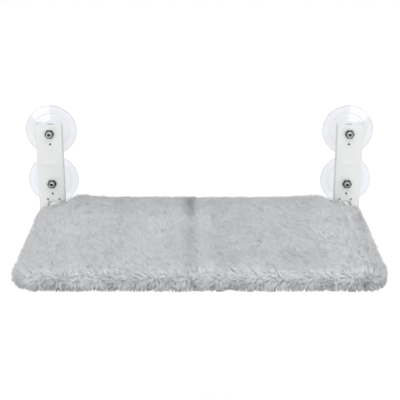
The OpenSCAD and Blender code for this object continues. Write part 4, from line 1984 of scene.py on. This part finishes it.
    def map_backing(self, skin: bpy.types.Object) -> None:
        """Maps the skin onto the lowest band of the pile's own map, face by face.

        Args:
            skin: The hollowed skin.
        """
        mesh = skin.data
        uv = np.empty((len(mesh.loops), 2))
        (offsets, sizes), (low, high) = self.backing_box, self.backing_band
        for face in mesh.polygons:
            drop = max(range(3), key=lambda k: abs(face.normal[k]))
            axes = [k for k in range(3) if k != drop]
            for loop in face.loop_indices:
                co = mesh.vertices[mesh.loops[loop].vertex_index].co
                u, v = (min(max((co[k] + offsets[k]) / sizes[k], 0), 1) for k in axes)
                uv[loop] = (u, low + high * v)
        for name in ("OFBake", PILE_MAP):
            mesh.uv_layers.new(name=name).data.foreach_set("uv", uv.ravel())


@dataclass(frozen=True)
class Regions:
    """How much each root belongs to each part of the cover, from 0 to 1, one a row."""

    edge: np.ndarray
    right: np.ndarray
    corner: np.ndarray
    reach: np.ndarray
    inner: np.ndarray
    puff: np.ndarray
    front: np.ndarray


@dataclass(frozen=True)
class Pile:
    """The cover's pile: tufts that lie along the skin and hold together in clumps."""

    tufts: int = 120_000
    hair: float = 0.4 * MM
    hair_spread: Pair = (0.75, 1.3)
    thick: float = 0.3
    roundness: float = 0.4
    length: float = 10.5 * MM
    length_spread: Pair = (0.78, 1.15)
    sunk: float = 0.4 * MM
    droop: float = 0.8 * MM
    # Degrees from the outward direction, below and above a tuft's bend, where the pile is flat and where
    # it is ruffled. The turns are for pile over the hinges, inside them and beside them.
    rise: Pair = (56, 24)
    rise_turns: tuple[float, float, float] = (14, -32, -10)
    rise_spread: Pair = (10, 8)
    bend: Pair = (80, 46)
    bend_turns: tuple[float, float, float] = (9, -18, -22)
    bend_spread: Pair = (10, 12)
    stray: Pair = (0.16, 0.3)
    joint_shares: Pair = (0.5, 0.55)
    pull: Pair = (0.2, 0.4)
    mid_pull: float = 0.35
    lift: Pair = (2.5 * MM, 5 * MM)
    hem: float = -95.2 * MM
    clump: float = 5 * MM
    furred_area: float = 0.4
    stud_side: float = 230 * MM
    stud_reach: float = -195 * MM
    stud_clear: float = -63.3 * MM
    cheek_side: Pair = (226 * MM, 251 * MM)
    cheek_clear: float = -62 * MM
    crease_x: float = -3.5 * MM
    right_half: Band = Band(-3.5 * MM, 40 * MM)
    right_middle: Band = Band(30 * MM, 60 * MM)
    right_side: Band = Band(150 * MM, 60 * MM)
    right_end: Band = Band(205 * MM, 35 * MM)
    face_low: Band = Band(-74.3 * MM, -14 * MM)
    hem_low: Band = Band(-72 * MM, -19 * MM)
    hinge_depth: float = 15 * MM
    hinge_from: Band = Band(196 * MM, 8 * MM)
    hinge_to: Band = Band(252 * MM, -8 * MM)
    turned_out: Band = Band(226 * MM, 12 * MM)
    past_cheeks: Band = Band(222 * MM, 12 * MM)
    inner_from: Band = Band(203 * MM, 8 * MM)
    inner_to: Band = Band(236 * MM, -10 * MM)
    puff_across: Band = Band(130 * MM, 60 * MM)
    puff_back: Band = Band(-70 * MM, 45 * MM)
    front_across: Band = Band(215 * MM, 30 * MM)
    front_ahead: Band = Band(-265 * MM, -40 * MM)
    crease_dark: Band = Band(-8 * MM, 9 * MM)
    crease_light: Band = Band(14 * MM, 12 * MM)
    crease_rear: Band = Band(-70 * MM, 40 * MM)
    rear_dark: Band = Band(-130 * MM, 90 * MM)
    front_dark: Band = Band(-190 * MM, -80 * MM)
    # Layers of noise hold their height, cell and seed.
    lay_turn: float = 2.0
    lay_layers: tuple = ((0.2, 70 * MM, 21), (0.25, 22 * MM, 22), (0.45, 8 * MM, 23))
    lay_right: float = 0.4
    side_stray: float = 1.3
    side_stand: float = 0.35
    side_down: Pair = (0.15, 0.9)
    over_hinge: Pair = (0.75, 0.66)
    hinge_hold: float = 0.8
    light: float = 0.77
    light_layers: tuple = ((0.02, 60 * MM, 32), (0.04, 14 * MM, 33))
    clump_mottle: Pair = (0.07, 2.2)
    tuft_mottle: float = 0.06
    hem_mottle: float = 0.3
    # Amounts of painted shade and painted light in the pile's tone; darker_end only darkens the right end.
    crease_painted_shade: Pair = (0.18, 0.28)
    crease_painted_light: float = 0.05
    right_painted_light: float = 0.07
    darker_end: float = 0.15
    front_painted_shade: float = 0.04
    rear_painted_shade: Pair = (0.15, 0.06)
    hem_painted_shade: float = 0.78
    tones: Pair = (0.02, 0.98)
    # At the right end, over the hinges, in the rear corners and beside them.
    longer: tuple[float, float, float, float] = (0.15, 1.4, -0.3, 0.3)
    longer_front: float = 0.2
    uneven: tuple = ((0.18, 9 * MM, 42),)
    shorter_under: float = 0.55
    skin: CoverSkin = CoverSkin()

    def over_hinges(self, at: np.ndarray) -> np.ndarray:
        """How near each root is to the rear corners, whose pile lies out over the hinges.

        Args:
            at: The roots.

        Returns:
            From 0 to 1 a root, one a row.
        """
        (x0, y0), (x1, y1) = self.skin.cut_from, self.skin.cut_to
        x, y = np.abs(at[:, :1]), at[:, 1:2]
        along = share_of((x - x0) / (x1 - x0))
        behind = y0 + (y1 - y0) * along - y
        near = share_of(1.2 - behind / self.hinge_depth) * self.hinge_from.share(x)
        return near * self.hinge_to.share(x)

    def lay(self, at: np.ndarray, away: np.ndarray) -> np.ndarray:
        """Which way the pile lies at each root, along the skin.

        Args:
            at: The roots.
            away: The skin's outward directions.

        Returns:
            One unit direction a root.
        """
        x, z = at[:, 0], at[:, 2:]
        turn = layered(self.lay_turn, at, self.lay_layers)
        turn += (
            self.lay_right * self.right_half.share(x) - self.lay_right * self.right_side.share(x)
        )
        way = np.stack([np.cos(turn), np.sin(turn), np.zeros(len(turn))], axis=1)
        side = share_of(1 - 1.7 * away[:, 2:])
        stray = np.stack([soft_noise(at, 9 * MM, seed) for seed in (24, 25, 26)], axis=1)
        way += side * (self.side_stray * stray + self.side_stand * away)
        least, more = self.side_down
        way[:, 2:] -= side * (least + more * self.face_low.share(z))
        outward, (across, back) = np.zeros_like(way), self.over_hinge
        outward[:, 0], outward[:, 1] = across * np.sign(x), back - self.turned_out.share(x)
        way += (outward - way) * self.over_hinges(at) * self.hinge_hold
        return unit(way - away * np.sum(way * away, axis=1, keepdims=True))

    def tone(self, at: np.ndarray, away: np.ndarray, clump: np.ndarray) -> np.ndarray:
        """How light each tuft is, from 0 to 1, with painted shade and painted light on the cover.

        Args:
            at: The roots.
            away: The skin's outward directions.
            clump: The number of each root's clump.

        Returns:
            One tone a root.
        """
        rng = np.random.default_rng(31)
        x, y, z = at.T
        clumps, side, right = clump.max() + 1, x - self.crease_x, self.right_end.share(x)
        tone = layered(self.light, at, self.light_layers)
        mottle, more = self.clump_mottle
        tone += (1 + more * right) * rng.uniform(-mottle, mottle, clumps)[clump]
        tone += rng.uniform(-self.tuft_mottle, self.tuft_mottle, len(at))
        # Painted shade along the crease on top, more towards the rear, and painted light beside it.
        dark, (least, more) = self.crease_dark.bell(side) * (away[:, 2] > 0.5), self.crease_painted_shade
        tone -= dark * (least + more * self.crease_rear.bell(y))
        tone += self.crease_painted_light * self.crease_light.bell(side)
        # Painted light right of the middle; darker towards the right end.
        tone += self.right_painted_light * self.right_middle.share(x) - self.darker_end * right
        # Painted shade towards the front and towards the rear, more on the left at the rear.
        tone -= self.front_painted_shade * self.front_dark.share(y)
        tone -= self.rear_dark.share(y) * np.where(side < 0, *self.rear_painted_shade)
        # Down the front face: a random mottle, and painted shade towards the hem.
        low = self.hem_low.share(z) ** 2
        tone += low * self.hem_mottle * rng.uniform(-1, 1, clumps)[clump]
        return np.clip(tone - self.hem_painted_shade * low, *self.tones)

    def regions(self, at: np.ndarray, away: np.ndarray) -> Regions:
        """The parts of the cover whose pile differs.

        Args:
            at: The roots.
            away: The skin's outward directions.

        Returns:
            How much each root belongs to each.
        """
        x, y, up = at[:, :1], at[:, 1:2], away[:, 2:]
        wide, corner = np.abs(x), self.over_hinges(at)
        outer = self.past_cheeks.share(wide) * np.where(x > 0, 1, 0.45)
        return Regions(
            edge=share_of(1.1 - 1.3 * up),
            right=self.right_end.share(x),
            corner=corner,
            reach=corner * share_of(2 * up) * (1 - outer),
            inner=self.inner_from.share(wide) * self.inner_to.share(wide) * corner,
            puff=self.puff_across.share(wide) * (1 - corner) * self.puff_back.share(y),
            front=self.front_across.share(wide) * self.front_ahead.share(y),
        )

    def lengths(
        self, at: np.ndarray, away: np.ndarray, of: Regions, rng: np.random.Generator,
    ) -> np.ndarray:
        """Each tuft's length.

        Args:
            at: The roots.
            away: The skin's outward directions.
            of: What the roots belong to.
            rng: Where the spread is drawn from.

        Returns:
            One length a row.
        """
        factor = 1
        for more, region in zip(self.longer, (of.right, of.reach, of.corner, of.puff)):
            factor = factor + more * region
        uneven = layered(0.0, at, self.uneven)[:, None]
        length = self.length * factor * (1 + self.longer_front * of.front + uneven)
        length = length * rng.uniform(*self.length_spread, (len(at), 1))
        return length * (1 - self.shorter_under * share_of(-away[:, 2:]))

    def build(self, at: np.ndarray, away: np.ndarray) -> bpy.types.Object:
        """The tufts as one mesh: bent, tapered, and drawn together in clumps.

        Args:
            at: The roots.
            away: The skin's outward directions.

        Returns:
            The pile.
        """
        rng = np.random.default_rng(41)
        lay, of = self.lay(at, away), self.regions(at, away)
        length = self.lengths(at, away, of, rng)
        ruffle = np.maximum(of.edge, 0.6 * of.right)
        angles = []
        for (flat, ruffled), turns, (least, more) in (
            (self.rise, self.rise_turns, self.rise_spread),
            (self.bend, self.bend_turns, self.bend_spread),
        ):
            angle = flat + (ruffled - flat) * ruffle
            for turn, region in zip(turns, (of.reach, of.inner, of.puff)):
                angle = angle + turn * region
            spread = (least + more * ruffle) * rng.standard_normal((len(at), 1))
            angles.append(np.radians(angle + spread))
        stray = unit(rng.standard_normal((len(at), 3)))
        first, second = (
            unit(away * np.cos(angle) + lay * np.sin(angle) + loose * stray)
            for angle, loose in zip(angles, self.stray)
        )
        mid = at + first * length * self.joint_shares[0]
        tip = mid + second * length * self.joint_shares[1]
        tip[:, 2:] -= self.droop * of.edge
        for point, lift in zip((mid, tip), self.lift):
            point[:, 2:] += lift * of.inner
        tip[:, 2:] += 0.85 * np.maximum(self.hem - tip[:, 2:], 0)
        clump = self.clumps(at)
        pull = self.pull[0] + self.pull[1] * ruffle
        for point, share in ((tip, 1.0), (mid, self.mid_pull)):
            point += (group_means(clump, point)[clump] - point) * pull * share
            self.keep_clear(point)
        tone = self.tone(at, away, clump)
        return self.mesh(at - away * self.sunk, mid, tip, lay, away, tone)

    def keep_clear(self, point: np.ndarray) -> None:
        """Keeps the pile off the studs when the seat is up, and off the hinge cheeks.

        Args:
            point: The tufts' bends or tips, one a row, which are moved.
        """
        x, y, z = np.abs(point[:, 0]), point[:, 1], point[:, 2]
        by_studs = (x > self.stud_side) & (y > self.stud_reach)
        point[:, 2] = np.where(by_studs, np.minimum(z, self.stud_clear), z)
        low, high = self.cheek_side
        by_cheeks = (x > low) & (x < high)
        point[:, 1] -= 0.9 * np.maximum(y - self.cheek_clear, 0) * by_cheeks

    def clumps(self, at: np.ndarray) -> np.ndarray:
        """The number of the clump that each root belongs to.

        Args:
            at: The roots.

        Returns:
            One number a root.
        """
        rng = np.random.default_rng(51)
        count = int(self.furred_area / self.clump ** 2 * 0.9)
        chosen = at[rng.permutation(len(at))[: min(count, len(at))]]
        tree = KDTree(len(chosen))
        for k, root in enumerate(chosen):
            tree.insert(root, k)
        tree.balance()
        near = np.array([tree.find(root)[1] for root in at])
        return np.unique(near, return_inverse=True)[1]

    def mesh(
        self, start: np.ndarray, mid: np.ndarray, tip: np.ndarray, lay: np.ndarray,
        away: np.ndarray, tone: np.ndarray,
    ) -> bpy.types.Object:
        """Builds the tufts' mesh: three sides, two lengths, a closed root and a pointed tip.

        Args:
            start: Where the tufts start.
            mid: Where they bend.
            tip: Where they end.
            lay: Which way they lie.
            away: The skin's outward directions.
            tone: How light each one is.

        Returns:
            The pile with its own map.
        """
        n = len(start)
        wide = self.hair * np.random.default_rng(61).uniform(*self.hair_spread, (n, 1))
        across = unit(np.cross(away, lay))
        verts, normals = np.empty((n, 7, 3)), np.empty((n, 7, 3))
        for level, (centre, along, size) in enumerate((
            (start, mid - start, wide), (mid, tip - start, wide * 1.2),
        )):
            over = unit(np.cross(unit(along), across))
            for k in range(3):
                angle = math.radians(90 + 120 * k)
                spoke = across * math.cos(angle) + over * math.sin(angle) * self.thick
                verts[:, level * 3 + k] = centre + spoke * size
                normals[:, level * 3 + k] = unit(away + self.roundness * spoke)
        verts[:, 6], normals[:, 6] = tip, away
        faces = ((2, 1, 0), (0, 1, 4, 3), (1, 2, 5, 4), (2, 0, 3, 5), (3, 4, 6), (4, 5, 6), (5, 3, 6))
        corner = np.concatenate(faces)
        loops = (np.arange(n)[:, None] * 7 + corner).ravel()
        starts = np.cumsum([0, *np.tile([len(face) for face in faces], n)[:-1]])
        mesh = bpy.data.meshes.new("pile")
        mesh.vertices.add(n * 7)
        mesh.vertices.foreach_set("co", verts.ravel())
        mesh.loops.add(len(loops))
        mesh.loops.foreach_set("vertex_index", loops.astype(np.int32))
        mesh.polygons.add(len(starts))
        mesh.polygons.foreach_set("loop_start", starts.astype(np.int32))
        mesh.update(calc_edges=True)
        mesh.polygons.foreach_set("use_smooth", np.ones(len(starts), bool))
        mesh.normals_split_custom_set_from_vertices(normals.reshape(-1, 3))
        self.map_tufts(mesh, tone, corner)
        pile = bpy.data.objects.new("pile", mesh)
        bpy.context.collection.objects.link(pile)
        return pile

    def map_tufts(self, mesh: bpy.types.Mesh, tone: np.ndarray, corner: np.ndarray) -> None:
        """Writes the pile's own map: tone across, root to tip upwards.

        Args:
            mesh: The pile's mesh.
            tone: How light each tuft is.
            corner: The vertex of each corner within a tuft.
        """
        step, (root, bend, tip) = 0.004, (0.3, 0.62, 0.98)
        across = np.array([0, step, 2 * step, 0, step, 2 * step, step])[corner]
        upward = np.array([root] * 3 + [bend] * 3 + [tip])[corner] + np.where(corner == 1, 0.01, 0)
        uv = np.empty((len(tone), len(corner), 2))
        uv[:, :, 0] = share_of(tone[:, None] * 0.97 + 0.01 + across)
        uv[:, :, 1] = upward
        for name in ("OFBake", PILE_MAP):
            mesh.uv_layers.new(name=name).data.foreach_set("uv", uv.ravel())


@dataclass(frozen=True)
class PlushCover:
    """The plush cover: its sewn skin and its pile, as one piece."""

    skin: CoverSkin = CoverSkin()
    pile: Pile = Pile()

    def build(self) -> None:
        """Sews, swells, hollows and furs the cover."""
        skin = self.skin.blank()
        self.skin.inflate(skin)
        apply_modifier(skin, "SUBSURF", levels=1, render_levels=1)
        self.skin.shape(skin)
        count = self.pile.tufts
        at, away = self.skin.roots(skin, count)
        self.skin.hollow(skin)
        smooth(skin, 60)
        self.skin.map_backing(skin)
        cover = joined("plush_seat_cover", [skin, self.pile.build(at, away)])
        fit(cover, PlushPile(), SEAT, "plush_cover")


@dataclass(frozen=True)
class Studio:
    """The pale floor, the soft light and the camera."""

    floor_z: float = -0.45
    floor_size: float = 9
    floor_glow: float = 0.4
    floor_dark: Colour = (0.95, 0.95, 0.95)
    floor_light: Colour = (0.97, 0.97, 0.97)
    camera_at: tuple[float, float, float] = (0.0, -1.535, 0.483)
    camera_tilt: float = 69.9
    lens: float = 88.47
    sensor: float = 36
    shift_x: float = 0.00125
    ambient: float = 0.61

    def world(self) -> None:
        """White to the camera, in gloss and through glass; softer as light."""
        nodes = Nodes(bpy.data.worlds.new("studio"))
        rays = nodes.add("LightPath").outputs
        seen = rays["Is Camera Ray"]
        for other in ("Is Glossy Ray", "Is Transmission Ray"):
            seen = nodes.math("MAXIMUM", seen, rays[other])
        light, white = (nodes.add("Background", WHITE, power) for power in (self.ambient, 1.0))
        mix = nodes.add("MixShader", seen, light.outputs[0], white.outputs[0])
        nodes.add("OutputWorld", mix.outputs[0])
        bpy.context.scene.world = nodes.owner

    def floor(self) -> None:
        """A wide pale floor that stays white where no shadow falls."""
        bpy.ops.mesh.primitive_grid_add(size=self.floor_size, x_subdivisions=4, y_subdivisions=4)
        floor = place(bpy.context.object, Matrix.Translation((0, 0, self.floor_z)))
        floor.name = "studio_floor"
        nodes = Nodes(bpy.data.materials.new("studio_floor"))
        rays = nodes.add("LightPath").outputs
        seen = nodes.math("MAXIMUM", rays["Is Camera Ray"], rays["Is Transmission Ray"])
        floor.data.materials.append(nodes.finish(
            Base_Color=nodes.between(nodes.noise(0.4), self.floor_dark, self.floor_light),
            Roughness=0.9,
            Emission_Color=WHITE,
            Emission_Strength=nodes.math("MULTIPLY", seen, self.floor_glow),
        ))

    def lamp(self, name: str, at: Sequence[float], aim: Sequence[float], size: Pair, watts: float) -> None:
        """A soft rectangular lamp.

        Args:
            name: Its name.
            at: Where it stands.
            aim: What it points at.
            size: Its width and height.
            watts: Its power.
        """
        data = bpy.data.lights.new(name, "AREA")
        data.shape, data.energy = "RECTANGLE", watts
        data.size, data.size_y = size
        lamp = bpy.data.objects.new(name, data)
        lamp.location = at
        lamp.rotation_euler = (Vector(aim) - Vector(at)).to_track_quat("-Z", "Y").to_euler()
        bpy.context.collection.objects.link(lamp)

    def camera(self) -> None:
        """The camera at the photograph's angle."""
        data = bpy.data.cameras.new("camera")
        data.lens, data.sensor_width, data.shift_x = self.lens, self.sensor, self.shift_x
        camera = bpy.data.objects.new("camera", data)
        camera.location = self.camera_at
        camera.rotation_euler = (math.radians(self.camera_tilt), 0, 0)
        bpy.context.collection.objects.link(camera)
        bpy.context.scene.camera = camera

    def build(self) -> None:
        """Sets up light, floor and camera."""
        bpy.context.scene.view_settings.view_transform = "Standard"
        self.world()
        self.floor()
        for name, at, aim, size, watts in (
            ("front_softbox", (-0.9, -1.88, 0.15), (-0.24, 0, 0), (0.72, 0.62), 5.6),
            ("front_softbox", (0.9, -1.88, 0.15), (0.24, 0, 0), (0.72, 0.62), 5.6),
            ("fill_softbox", (0, -2.2, 0.65), (0, 0, -0.05), (1.6, 0.5), 3),
            ("top_softbox", (0.1, -0.5, 1.6), (0, -0.17, -0.05), (1.1, 1.1), 11.5),
        ):
            self.lamp(name, at, aim, size, watts)
        self.camera()


def main() -> None:
    """Builds the perch, sub-assembly by sub-assembly, and the studio round it."""
    logging.basicConfig(level=logging.INFO, format="%(message)s")
    Studio().build()
    WindowBrackets().build()
    SeatFrame().build()
    Sling().build(WovenCloth(
        "sling_weave", "sling_cloth", (0.13, 0.135, 0.145), (0.24, 0.245, 0.26), 0.9 * MM,
    ))
    FoamPad().build()
    CoverBase().build(WovenCloth(
        "underside_weave", "base_cloth", (0.2, 0.205, 0.215), (0.34, 0.345, 0.36), 0.6 * MM,
    ))
    PlushCover().build()


if __name__ == "__main__":
    main()
